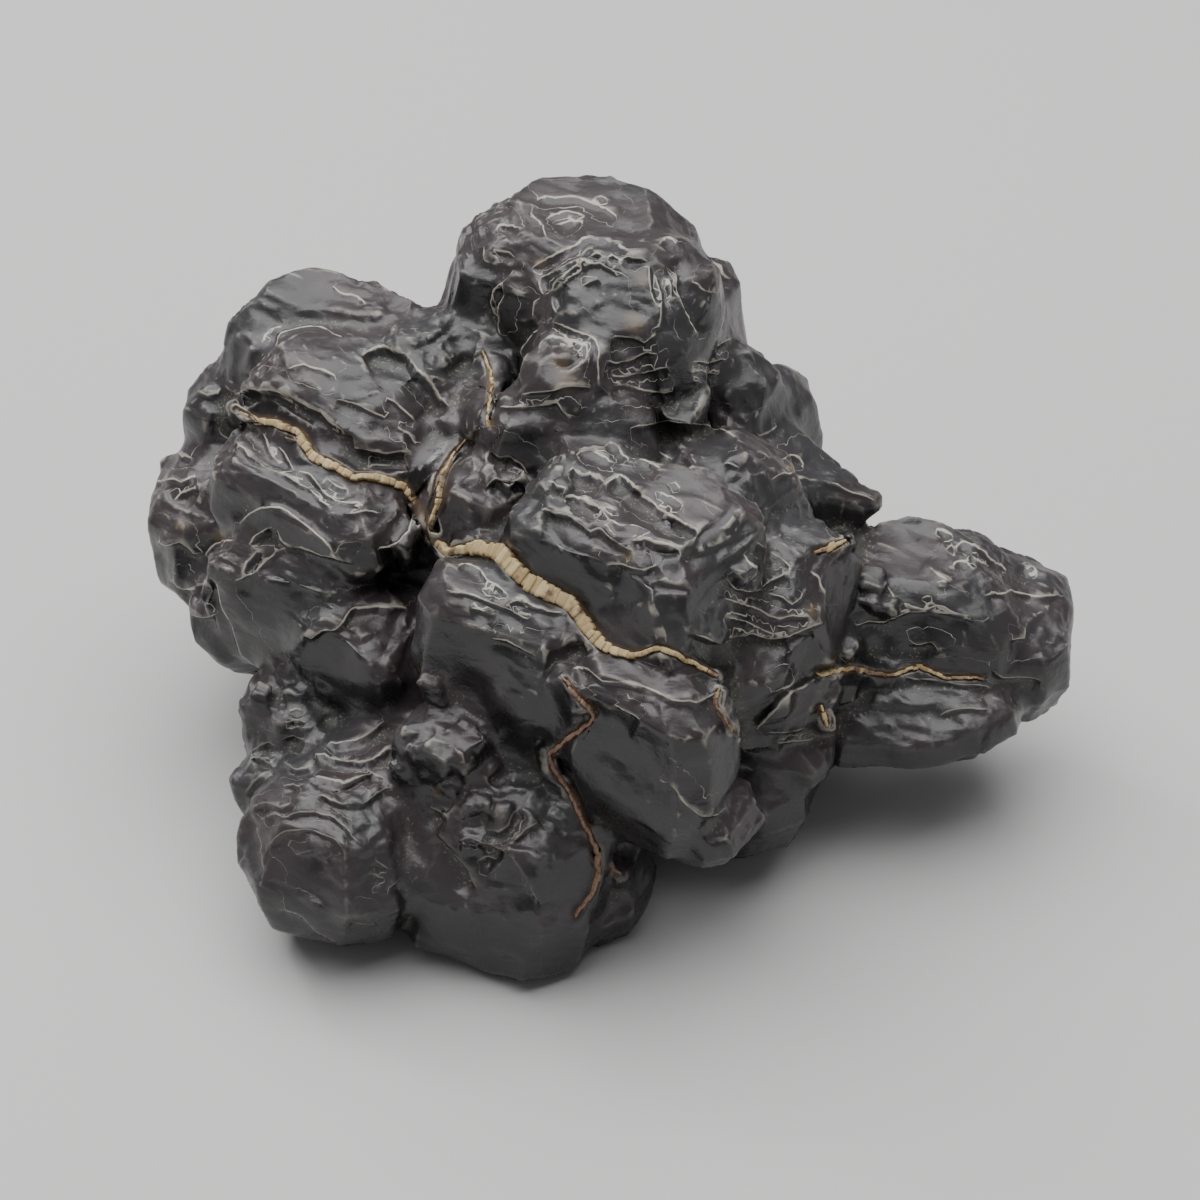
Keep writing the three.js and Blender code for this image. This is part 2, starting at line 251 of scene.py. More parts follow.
# Steps that run across the stone as it is seen, by the part they are on. Each line is walked with its
# lower side on the right. The step's drop, and the reach over which it fades out, are in mm.
ledges = {
    "crownKnobInside": {"drop": 0.45, "reach": 1.7, "lines": [
        [(-4.4, 24.3), (-4.7, 25.6), (-4, 26.1), (-3, 27), (-2.2, 27.3), (-1.2, 27.6)],
        [(-3.9, 24.6), (-3.5, 25.4), (-2.9, 26.2), (-2.1, 26.8), (-1.3, 27.2), (-0.9, 27.1)],
        [(-3.5, 22.8), (-3.8, 24.2), (-3.3, 25.2), (-2, 26.1), (-1.1, 26.8), (0, 27.1), (1, 26.4),
         (1.3, 25.7)],
        [(-5.6, 26.4), (-4.4, 27.4), (-2.8, 28.1), (-1.4, 28.9), (0.2, 29.1), (1.4, 28.8), (2.6, 28.1)],
        [(-1.9, 28), (-1.2, 28.4), (-0.4, 28.5)],
        [(-1.2, 27.5), (-0.9, 27.9), (0, 27.9), (0.4, 27.6)],
        [(0.3, 27.4), (0.9, 27.8), (1.5, 27.6), (1.7, 26.9)],
        [(2, 27.8), (2.6, 27.4), (3.3, 27.4), (4, 27)],
        [(-1.6, 25), (-0.8, 25.4), (0.1, 25.7)],
    ]},
    "crownKnobOutside": {"drop": 0.5, "reach": 1.7, "lines": [
        [(4.6, 23.4), (4.3, 24.2), (4.1, 25.4), (4, 26.9)],
        [(4, 21.5), (4.8, 21.8), (4.9, 23), (5, 24.6), (4.7, 25.6), (4.5, 26.4)],
        [(6, 24), (5.8, 25.3), (5.6, 25.9), (5, 26.1)],
        [(8, 21.1), (7.4, 22.8), (6.7, 23.8), (6.3, 25.3), (6.3, 26.2), (5.4, 26.9)],
        [(-7, 26.6), (-7.9, 25.4), (-8.9, 24.7), (-9, 23.8), (-8.6, 22.5)],
        [(-7.8, 25.2), (-7.8, 24.4), (-8.1, 23.6), (-8.2, 22.2), (-8.1, 21.1)],
        [(-4.8, 24.3), (-5.4, 23.8), (-5.4, 22.4)],
        [(-4.8, 21.9), (-5.6, 21.2), (-6.2, 20.3), (-6.2, 18.4), (-6.5, 17.2)],
    ]},
    "crownBud": {"drop": 0.42, "reach": 1.1, "lines": [
        [(-5, 19.6), (-4.8, 20.6), (-4, 21.3), (-2.8, 21.1), (-1.2, 20.6), (-1.1, 19.6), (-1.3, 18.6)],
        [(-4.2, 20.3), (-3, 20.9), (-2, 20.5), (-1.6, 19.6), (-1.6, 18.8), (-2.4, 18.3), (-3.6, 18.3)],
    ]},
    "crownFace": {"drop": 0.4, "reach": 2.2, "lines": [
        [(-3.9, 22.3), (-2.6, 21.8), (-0.4, 20.8), (-0.2, 20), (0, 18.6), (0, 17.2), (0.9, 16.1)],
        [(0.8, 21), (2.2, 20.9), (3.6, 20.5), (4.2, 20.9), (4.8, 21)],
        [(0.6, 19.3), (1.4, 18.9), (2.6, 19.1), (3.6, 19.6), (4.8, 19.6)],
        [(1, 18), (2.2, 17.8), (3.6, 18), (4.8, 18.4), (5.7, 18.5)],
        [(0.6, 17), (2, 17.2), (3.6, 16.7), (5.2, 16.5), (6.2, 16.7)],
        [(-6.4, 16.5), (-4.2, 16.8), (-2, 17), (-0.4, 16.9)],
        [(-8.2, 15.5), (-5.6, 15.5), (-4.2, 15.6), (-3.5, 15.8), (-3, 15), (-2.4, 14.1)],
    ]},
    "crownTop": {"drop": 0.3, "reach": 1.5, "lines": [
        [(-8.4, 29.4), (-8.2, 30), (-7.2, 30), (-6.2, 29.7)],
        [(-5.6, 31.7), (-5.5, 30.8), (-4.6, 30.2), (-4.3, 29)],
        [(-5.4, 31.9), (-4.2, 32.2), (-2.8, 32.2), (-1.6, 32), (0, 31.5), (1, 30.8), (1.5, 30.3)],
        [(-4.4, 30.7), (-3, 31.1), (-1.6, 31.1), (-1.1, 30.7)],
        [(-3.7, 30.3), (-2.2, 30.7), (-1.6, 30.6), (-1.2, 30)],
        [(-0.4, 32.1), (0.2, 32.2), (0.7, 31.8)],
        [(-9.3, 28.4), (-9.2, 27.2), (-8, 26.8)],
        [(-8.7, 27.7), (-8.5, 28.1), (-7.4, 27.8), (-6.9, 27.3)],
        [(4.6, 28.2), (5.2, 28.8), (5.9, 28.7), (6.2, 28.2)],
        [(8.8, 27.5), (9.8, 26.7), (10.3, 25.9), (10.7, 25.5)],
        [(7.2, 25.5), (8.6, 24.9), (9.6, 24.6)],
        [(9, 20.2), (10, 20.7), (10.6, 21)],
        [(7.2, 19.1), (8.6, 19), (9.6, 19.3), (10.4, 19.2)],
        [(7, 18.2), (8.4, 18.4), (9.8, 18.1)],
        [(7.2, 17.4), (8, 17.5), (8.6, 17.4)],
    ]},
    "shoulderEdge": {"drop": 1.2, "reach": 3.2, "lines": [
        [(-29.2, 16.2), (-28.2, 16.9), (-26.8, 16.8), (-25.6, 16.4), (-24.6, 16.1), (-23.4, 15.3),
         (-22.4, 15), (-21.6, 14.1), (-20.4, 13.3), (-19.8, 12.9), (-19.6, 12.1), (-18.2, 11.7),
         (-16.4, 11.7), (-15, 11.9)],
    ]},
    "shoulderTop": {"drop": 0.28, "reach": 2.4, "lines": [
        [(-26.4, 16.3), (-25.3, 15.8), (-24.7, 15.1)],
        [(-21.8, 13.8), (-20.6, 12.9)],
        [(-21.2, 16.2), (-20, 15.9), (-18.8, 15.4), (-18.2, 15), (-17.4, 14.7), (-16.8, 14.4)],
        [(-16.4, 14.1), (-15.2, 13.5), (-14.9, 12.8), (-14.5, 12.2)],
        [(-17.4, 16.3), (-16.4, 16), (-15.4, 15.2), (-14.4, 14.1)],
        [(-20.4, 21.3), (-22.2, 21.9), (-24, 21.8), (-25.4, 21.5), (-25.8, 21), (-25.9, 20.1)],
        [(-25.2, 22.1), (-26.4, 21.7), (-27, 21.2), (-27.2, 20.4)],
        [(-25.2, 18.5), (-23.8, 18.9), (-22, 18.4), (-20.8, 17.6)],
        [(-21.6, 25.1), (-20.6, 24.4), (-19.4, 24.2), (-18.8, 23.4)],
        [(-19, 10.8), (-17.8, 10.9), (-16.6, 10.8)],
    ]},
    "shoulderKnob": {"drop": 0.9, "reach": 4, "lines": [
        [(-19.2, 19.6), (-17.6, 20.2), (-17, 20.1), (-16.2, 19.6), (-15.6, 19.6), (-14.8, 18.6),
         (-13.8, 17.6), (-13.2, 17), (-12.6, 16), (-12, 15.3)],
    ]},
    "slab": {"drop": 0.25, "reach": 1.3, "lines": [
        [(-30.8, 13.6), (-29.8, 12.9), (-28.6, 12.3), (-27.8, 11.4), (-26.6, 10.5), (-25.4, 9.9),
         (-24.4, 9.5), (-23.4, 8.9), (-22.4, 8), (-21.5, 7.3)],
        [(-24.3, 10.3), (-23.4, 10.1), (-22.6, 9.3), (-22, 8.4), (-21, 7.9), (-20, 7.7), (-18.8, 7.8)],
        [(-22, 9.8), (-21.3, 9.1), (-20.6, 8.8), (-20, 8.8)],
        [(-27, 13.6), (-26.6, 12.4), (-26.2, 11.5), (-25.4, 10.7)],
        [(-25.8, 12.4), (-25.1, 11.8), (-24.8, 10.9), (-24.5, 10.3)],
        [(-20.6, 6.8), (-19.4, 7), (-18.2, 7.1), (-17.4, 6.8)],
        [(-15.1, 7.2), (-15.4, 5.6), (-16.2, 4.7), (-18, 4.1)],
    ]},
    "leftSide": {"drop": 0.55, "reach": 2.4, "lines": [
        [(-35.9, 8.8), (-35.2, 9.5), (-34.2, 9.6), (-33.4, 9.4), (-32.8, 9.8), (-32.1, 9.9)],
        [(-34.4, 7.9), (-33.8, 8.6), (-33, 9), (-32.3, 9.2)],
        [(-32.2, 16.9), (-31.4, 16.4), (-30.5, 16.4), (-30.2, 17.2)],
        [(-34.4, 12), (-33.4, 11.6), (-32.4, 11.2)],
        [(-35.6, 4.8), (-34.6, 4.4), (-33.6, 4.6), (-32.6, 3.8), (-31.8, 3.6)],
        [(-34.6, 1.6), (-33.6, 1), (-32.6, 0.8), (-31.8, 1.2), (-31.2, 1.9)],
        [(-33, -1.2), (-31.8, -1.6), (-30.6, -1.4)],
    ]},
    "ridgeHoles": {"drop": 0.7, "reach": 1.1, "lines": [
        [(-28.2, 4.4), (-27.6, 5.2), (-26.6, 5.7), (-26.2, 5.6)],
        [(-28.6, 1.8), (-28.2, 3), (-27.4, 3.9), (-26.8, 3.8)],
    ]},
    "ridge": {"drop": 0.3, "reach": 1.4, "lines": [
        [(-21.2, 3.7), (-22, 4.6), (-22.8, 5.4), (-23.8, 6.2), (-25, 7), (-25.8, 7.5), (-27.2, 7.6),
         (-28.2, 7), (-29, 6)],
        [(-26, 5.7), (-25.7, 4.8), (-25.2, 4.3), (-23.4, 4.1)],
        [(-29.2, 4.9), (-30, 4.9), (-30.8, 4.6), (-31.4, 4), (-31.7, 3.4)],
        [(-29.4, 1.6), (-28, 2), (-26.9, 2.8), (-26, 4), (-24.4, 4.1), (-22, 3.3), (-19.4, 2.6)],
        [(-31, 1.4), (-30.4, -0.2), (-29.4, -2.6), (-28.6, -4.6), (-27.2, -5.6)],
    ]},
    "plinth": {"drop": 0.6, "reach": 5, "lines": [
        [(-23.9, -2.8), (-23.2, -3.3), (-22.2, -2.5), (-21.2, -2.4), (-20.5, -1.6), (-19.7, -0.8),
         (-18, -0.7), (-16.2, -0.6), (-15.2, -0.9)],
    ]},
    "nook": {"drop": 0.9, "reach": 2.6, "lines": [
        [(-9.2, 11), (-8.8, 11.9), (-8, 11.4), (-7.2, 11.3), (-6.2, 10.6), (-5.8, 9.9)],
        [(-9.2, 8.8), (-8.4, 9.6), (-7.4, 9.8), (-6.2, 9.2), (-5.9, 8.4)],
    ]},
    "centreEdge": {"drop": 0.7, "reach": 4, "lines": [
        [(-4.9, 7.3), (-4.3, 7.3), (-3.4, 6.9), (-2.4, 6.5), (-1.6, 6), (-0.8, 5.5), (0, 5.6),
         (0.8, 5.1), (1.8, 4.4), (2.8, 3.9)],
        [(2.4, 4.7), (3.6, 5), (4.6, 4.7), (5.6, 4.5), (6.3, 4), (6.4, 3.3)],
        [(0.2, 2.6), (1.2, 2.9), (2.4, 2.4), (3.6, 2.2), (4.7, 2.9)],
    ]},
    "centreLedge": {"drop": 0.75, "reach": 2.4, "lines": [
        [(0.2, 9.1), (1, 9.6), (1.5, 10), (2.1, 9.6), (2.8, 8.9), (3.4, 8.4), (4, 8), (4.8, 7.6),
         (5.7, 7), (6.6, 6.5), (7.6, 5.9), (8.1, 5.3)],
        [(-2.7, 10), (-2.1, 10.3), (-1.4, 10), (-0.8, 10.1), (-0.2, 9.8), (0.4, 9.6)],
        [(-3, 8), (-2.6, 8.3), (-1.8, 8.2), (-1, 7.9), (-0.2, 7.4), (0.3, 6.8)],
    ]},
    "centreTop": {"drop": 0.28, "reach": 1.6, "lines": [
        [(-4.4, 9.4), (-3.7, 9.3), (-3.4, 9), (-2.8, 9), (-2.7, 8.5)],
        [(-1.6, 8.2), (-1.2, 8.4), (-0.5, 8.1)],
        [(-0.4, 6.8), (0, 7), (0.5, 6.6), (0.6, 6.1)],
        [(0.2, 7.3), (0.9, 7.2), (1.5, 7)],
        [(0.5, 5.8), (0.9, 6.2), (1.6, 5.8), (2.6, 5.7), (4.2, 5.5)],
        [(-1.9, 11.4), (-1.4, 11.9), (-0.6, 12), (0, 11.6), (0.6, 11.5), (1.3, 11)],
        [(0.1, 12.4), (0.9, 12.7), (1.5, 12.3), (2, 11.7), (2.4, 11.1)],
        [(2.8, 11.5), (3.6, 11.1), (4.3, 10.6), (4.9, 10.2)],
        [(4.3, 8.7), (5, 8.4), (5.8, 8.3), (6.5, 7.9), (6.8, 7.3)],
        [(5.6, 9.6), (6.3, 9.2), (6.6, 8.8)],
        [(4.6, 11.8), (5.9, 11.3)],
        [(9.8, 11), (10.6, 10.8), (11.2, 10.4)],
        [(2.2, 13.6), (4.6, 14.2), (7, 14.2), (9.4, 13.8), (11, 12.9)],
    ]},
    "jawTop": {"drop": 0.3, "reach": 1.2, "lines": [
        [(-12.4, 0.6), (-10.6, 0.6), (-9.2, 0), (-8, -0.4), (-7, -0.9), (-6.2, -1.3), (-5.6, -1.6)],
        [(-11.6, 2.4), (-10.8, 3), (-9.8, 2.7), (-9, 1.6), (-8, 1.1), (-7.2, 0.3)],
        [(-6.6, 0.4), (-5.4, -0.4), (-4.2, -0.9), (-2.9, -1.2)],
        [(-9.6, 0.9), (-8.8, 1.2), (-8.3, 0.5)],
        [(-7.4, -0.3), (-6.6, 0.1), (-6, -0.3), (-5.9, -0.9)],
        [(-10.4, -0.6), (-9.2, -0.8), (-8.2, -1.2)],
        [(-8.8, -2.9), (-7.4, -3.2), (-6, -4), (-4.9, -4.4)],
        [(-3.4, -6), (-2.8, -6.6), (-2.2, -7.4), (-1.4, -8.4)],
    ]},
    "keel": {"drop": 0.45, "reach": 4.5, "lines": [
        [(-2.3, -5.6), (-1, -5.5), (0.2, -6.5), (1.2, -6.6), (2.4, -6.8), (3.8, -7.2), (5, -7.6),
         (6, -8), (7.6, -8.2), (8.6, -7.7), (9.5, -7.2)],
        [(4.6, -14.4), (5.6, -14.9), (6.4, -15.9), (7.2, -16.8), (8, -17.4), (9.4, -17.3), (10.4, -16.6)],
        [(0.8, -8.4), (2, -8.9), (3.4, -9.6)],
    ]},
    "hip": {"drop": 0.42, "reach": 2.2, "lines": [
        [(10, 1.9), (10.8, 1), (11.8, 0.6), (12.8, 0.7), (13.8, 1.4), (14.8, 2), (15.2, 2.2)],
        [(9.9, 0.3), (10.8, -0.2), (11.8, -0.4), (12.6, -0.8), (13.4, -1.4), (14.4, -1.7), (15.4, -1.4),
         (16.8, -1.3)],
        [(9.8, -1.4), (10.8, -1.5), (12, -2), (13, -2.5), (14.2, -2.9), (15.2, -2.6)],
    ]},
    "hipLow": {"drop": 0.9, "reach": 3.2, "lines": [
        [(7, -2.6), (8.2, -3), (9.4, -3.5), (10.8, -3), (12.3, -2.9), (13.6, -3.3), (15.3, -3.1),
         (16.6, -2.4), (18.1, -1.9)],
    ]},
    "hipUnder": {"drop": 0.6, "reach": 2.2, "lines": [
        [(17.2, -6.1), (15.3, -7.6), (12.9, -9.7), (10.8, -11.4)],
    ]},
    "hipTop": {"drop": 0.25, "reach": 1.5, "lines": [
        [(11.4, 3.8), (12, 3), (12.6, 2.5), (13.2, 2.2)],
        [(12.4, 4.6), (13.4, 4.1), (14.4, 3.5), (15, 2.8), (15.1, 2.1)],
        [(13.6, 0.4), (14.6, 0.1), (15.4, -0.4), (16.2, 0.2), (16.2, 1)],
        [(16.8, 2.4), (17.4, 1.8), (17.8, 0.6), (17.8, -0.6)],
        [(12.6, 13), (13.6, 13.4), (14.6, 14)],
        [(14.4, 11.2), (15.4, 11.7), (16, 11.4), (16.6, 10.7)],
        [(13.6, 9.4), (14.6, 10), (16, 10), (17.6, 9.7), (19, 9.1), (20.6, 8.4), (22.2, 7.9)],
        [(13.2, -10.4), (14.4, -10.6), (15.8, -10.5), (17, -10)],
        [(13.6, -7.9), (14.8, -7.4), (16.2, -6.6)],
        [(14, -11.6), (15.8, -11.4), (17.4, -11.2)],
        [(10.2, -13.2), (11.4, -13.3), (12.4, -13.7)],
    ]},
    "armEdge": {"drop": 0.35, "reach": 4, "lines": [
        [(20.2, -1.9), (21.4, -1.7), (22.8, -1.8), (23.8, -1.4), (24.8, -1.1), (26.2, -1.1), (27, -1),
         (28.4, -1.2), (29.6, -1.6), (30.6, -1.9), (31.4, -1.4)],
        [(30.6, 0.4), (31.4, 0.6), (32.4, 0.5), (33, 0.9), (34, 0.6), (35.2, 0.4), (36.4, 0.2), (37.2, 0)],
    ]},
    "armTop": {"drop": 0.28, "reach": 1.5, "lines": [
        [(24.1, -0.2), (25, -0.7), (26, -0.9), (26.9, -0.5), (27.4, -0.6), (28.2, -1), (30, -1.4)],
        [(25.6, 0.1), (26.2, 0.3), (26.7, 0.2)],
        [(28.2, 2.4), (28.2, 3), (28.8, 3.3), (29.4, 3.2), (30.1, 2.5)],
        [(28.6, 3.8), (28.7, 4.4), (29.2, 4.6), (30, 4.4), (31, 3.6), (31.7, 3.1), (32.2, 2.9),
         (32.7, 2.2)],
        [(27.6, 4), (28, 4.5), (28.6, 4.4)],
        [(29.6, 3.8), (30.6, 3.2), (31.4, 2.9)],
        [(30.9, 0.6), (31.4, 0.7), (31.8, 0.8)],
        [(33, 2.9), (33.6, 3), (34.2, 2.8), (34.7, 2.2), (34.8, 1.6)],
        [(34.2, 3.3), (34.9, 2.6), (35.2, 1.8)],
        [(26.8, 5.2), (27, 5.8), (27.8, 5.6), (28.5, 5.2)],
        [(26.9, 1.2), (27.8, 1)],
        [(26, 3), (27, 2.2), (28, 1.4)],
        [(22.8, 1.2), (23.2, 0.6), (23.6, 0)],
    ]},
    "armFace": {"drop": 0.35, "reach": 2, "lines": [
        [(24.5, -3.6), (25.6, -3.7), (26.6, -3.5), (27.2, -4.4)],
        [(24.2, -6.2), (25.6, -6.3), (27.2, -6.5), (28.8, -6.8), (30.6, -6.9), (31.6, -7.1)],
        [(27, -9.2), (28.2, -8.8), (29.4, -8.6), (31.2, -8.7)],
        [(32.6, -3.3), (34, -3.2), (34.1, -2)],
        [(31.2, -5.4), (32.2, -6.1), (34.4, -6.2), (35.4, -6.6)],
    ]},
    "footStacks": {"drop": 0.5, "reach": 1, "lines": [
        [(-28, -12.2), (-27.2, -11.6), (-26.6, -11.4), (-25.9, -11.9)],
        [(-28.6, -13.6), (-27.8, -12.6), (-27, -12.6), (-26.4, -13.1), (-25.8, -12.4)],
        [(-28.6, -15.6), (-27.8, -14.6), (-27, -13.9), (-26.4, -13.2)],
        [(-25.2, -8.9), (-24.2, -8.7), (-23.4, -9)],
        [(-25.4, -10), (-24.2, -9.6), (-23.4, -10)],
        [(-25.6, -11.4), (-24.6, -10.9), (-23.6, -11.3)],
        [(-25.6, -12.8), (-24.4, -13.4), (-23.4, -13.2), (-22.6, -12.9)],
        [(-28, -16.6), (-26.8, -16.2), (-25.6, -16.5), (-24.6, -16)],
        [(-25.6, -14.8), (-24.6, -14.6), (-23.8, -15)],
    ]},
    "footSteps": {"drop": 0.6, "reach": 2, "lines": [
        [(-22, -11.6), (-20.8, -11.7), (-19.4, -11.4), (-18.2, -10.6), (-17, -9.6)],
        [(-23, -12.2), (-21.8, -12.4), (-20.4, -13), (-18.8, -13.1), (-17.6, -12.4), (-16.4, -11.6)],
        [(-23.2, -13.9), (-21.6, -14.2), (-20.6, -14.6), (-19.4, -14), (-18, -13.6), (-17.2, -14.4)],
        [(-22.6, -15.4), (-21.2, -15.9), (-20, -16.3), (-18.8, -16.2), (-17.8, -15.4), (-16.6, -14.9)],
    ]},
    "footFaces": {"drop": 0.35, "reach": 1.8, "lines": [
        [(-27, -17.2), (-24.8, -17.1), (-22.8, -16.8), (-21.4, -17.4), (-20.2, -18.3), (-19.2, -19.6)],
        [(-26.8, -19.8), (-25.2, -18.6), (-23, -18.4), (-21.2, -19.2), (-20.2, -20.6)],
        [(-24.6, -20.6), (-22.8, -20), (-21.6, -21)],
        [(-28, -17), (-27.2, -19.4), (-27, -21.6), (-27.4, -23.2)],
        [(-18.6, -21.8), (-17.8, -22.2), (-17.1, -22.4)],
        [(-18.2, -20.8), (-17.4, -21.2), (-16.8, -21.5)],
        [(-25.8, -24.6), (-24.2, -25.2), (-22.8, -26.4), (-21, -27.8)],
        [(-17, -23.8), (-16.8, -23), (-15.9, -22.2)],
        [(-20.2, -25.6), (-19.2, -25.8), (-17.6, -25.7)],
    ]},
    "footMiddle": {"drop": 0.65, "reach": 2.2, "lines": [
        [(-13, -18.6), (-11.9, -19.9), (-10.8, -21.4), (-9.8, -23.2)],
        [(-11.4, -19.3), (-10.4, -19), (-9, -19.5), (-7.6, -20.4)],
        [(-9.2, -18.2), (-8.2, -18.4), (-7.6, -18.1), (-7, -17.2), (-6.4, -16.6)],
        [(-7.4, -19.4), (-6.6, -18.8), (-5.8, -18.2), (-4.8, -17.8)],
        [(-7.4, -20.6), (-6.4, -21.8), (-5.6, -23.2), (-4.9, -24.4)],
        [(-10, -21), (-9.2, -20.6), (-8.4, -20.9)],
        [(-13.8, -16.6), (-12.8, -17), (-12, -17.6)],
    ]},
}

# Crystals that the CAD leaves out, by the feet and in the pits between the blocks: where each is seen, its
# sizes in mm, and its heading, roll and pitch in degrees.
smallCrystals = [
    {"at": (-13.1, -6.9), "size": (2.4, 2.2, 2.6), "turn": (-35, 10, 0)},
    {"at": (-12.9, -9), "size": (1.9, 1.2, 2), "turn": (-10, 20, 5)},
    {"at": (-10.9, -11.3), "size": (2.8, 2.6, 2.8), "turn": (-48, 15, 10)},
    {"at": (-12.9, -12.4), "size": (2.4, 2, 2.6), "turn": (-35, 0, 12)},
    {"at": (-11.3, -12.9), "size": (1.9, 1.6, 1.8), "turn": (-42, 22, 0)},
    {"at": (-8.8, -13.6), "size": (2, 2.1, 2.6), "turn": (-50, 12, 12)},
    {"at": (-14.7, -10.4), "size": (1.3, 1.3, 1.6), "turn": (-15, 10, -10)},
    {"at": (-14.3, -12.3), "size": (1.5, 1.2, 1.8), "turn": (-60, 5, 5)},
    {"at": (-13.4, -13.9), "size": (1.6, 1.2, 1.5), "turn": (-25, 25, 0)},
    {"at": (-12.1, -15.3), "size": (1.7, 1.1, 1.6), "turn": (-30, 10, 0)},
    {"at": (-9.9, -16.5), "size": (2.1, 1.6, 2), "turn": (-15, 15, 0)},
    {"at": (-11.4, -17.1), "size": (1.3, 1.1, 1.5), "turn": (-40, 10, 10)},
    {"at": (-7.9, -17.5), "size": (1.8, 1.5, 1.8), "turn": (-30, 20, 5)},
    {"at": (-12.2, -17.6), "size": (1.4, 0.9, 1.2), "turn": (-20, 10, 0)},
    {"at": (-10.5, -19.3), "size": (1.9, 1.3, 1.5), "turn": (-10, 20, 0)},
    {"at": (-7.6, -20), "size": (1.6, 1, 1.2), "turn": (-30, 20, 0)},
    {"at": (-15.6, -13.2), "size": (1.4, 1.2, 1.4), "turn": (-50, 0, 0)},
    {"at": (-16.4, -12.4), "size": (1.2, 1.3, 1.4), "turn": (-20, 10, 0)},
    {"at": (-24.5, -7.9), "size": (1.9, 1.6, 2.4), "turn": (-20, 0, 0)},
    {"at": (-26.7, -8.2), "size": (1.7, 1.6, 2.4), "turn": (-25, 0, -5)},
    {"at": (-22.4, -7.6), "size": (1.4, 1.4, 2.6), "turn": (-20, 0, 5)},
    {"at": (-11, 12.6), "size": (5.5, 4.5, 7), "turn": (-30, 10, 0)},
    {"at": (-9.8, 15.6), "size": (4, 4, 6), "turn": (-10, 10, 5)},
    {"at": (5.2, 14.2), "size": (7, 4, 6), "turn": (-20, 10, 0)},
    {"at": (-15.6, 4.4), "size": (3, 3, 4), "turn": (-30, 15, 0)},
    {"at": (-3.2, 9.2), "size": (1.4, 1.2, 1.4), "turn": (-35, 10, 0)},
    {"at": (-7.6, 9), "size": (2.6, 2, 2.4), "turn": (-35, 15, 0)},
    {"at": (2.4, 8.8), "size": (1.2, 0.9, 1), "turn": (-20, 20, 0)},
    {"at": (5.4, 6.6), "size": (1.8, 0.8, 1), "turn": (-35, 10, 0)},
    {"at": (11.2, 2.4), "size": (1.9, 1.6, 1.8), "turn": (-40, 10, 0)},
    {"at": (19, -3.9), "size": (2.4, 1.8, 2.6), "turn": (-30, 10, 0)},
    {"at": (21.5, 1.4), "size": (2.6, 2.4, 2), "turn": (-25, 5, 5)},
    {"at": (21.2, -0.1), "size": (2.2, 1.7, 1.8), "turn": (-30, 15, 0)},
    {"at": (23.1, -0.8), "size": (1.9, 1.6, 1.8), "turn": (-20, 15, 0)},
]

# Spots of tan and ochre stain, as seen: right, up and radius in mm.
stains = [
    (2.3, 3.6, 1.1), (0, 4.9, 0.7), (-14.6, -5.7, 0.7), (-4.7, 27, 1), (3.4, 25.6, 1.2), (-3.2, 19, 1.3),
    (15.3, 10.6, 0.8), (17.9, -9.2, 0.6), (19, 4.2, 1.2), (-13, -15.3, 0.8), (17, -0.9, 0.9),
    (-30.4, 5.2, 1.2), (-2.6, 17.4, 1.4), (-33.5, 6, 1), (2.8, 22.2, 1.6), (-8.8, 17, 0.9),
]

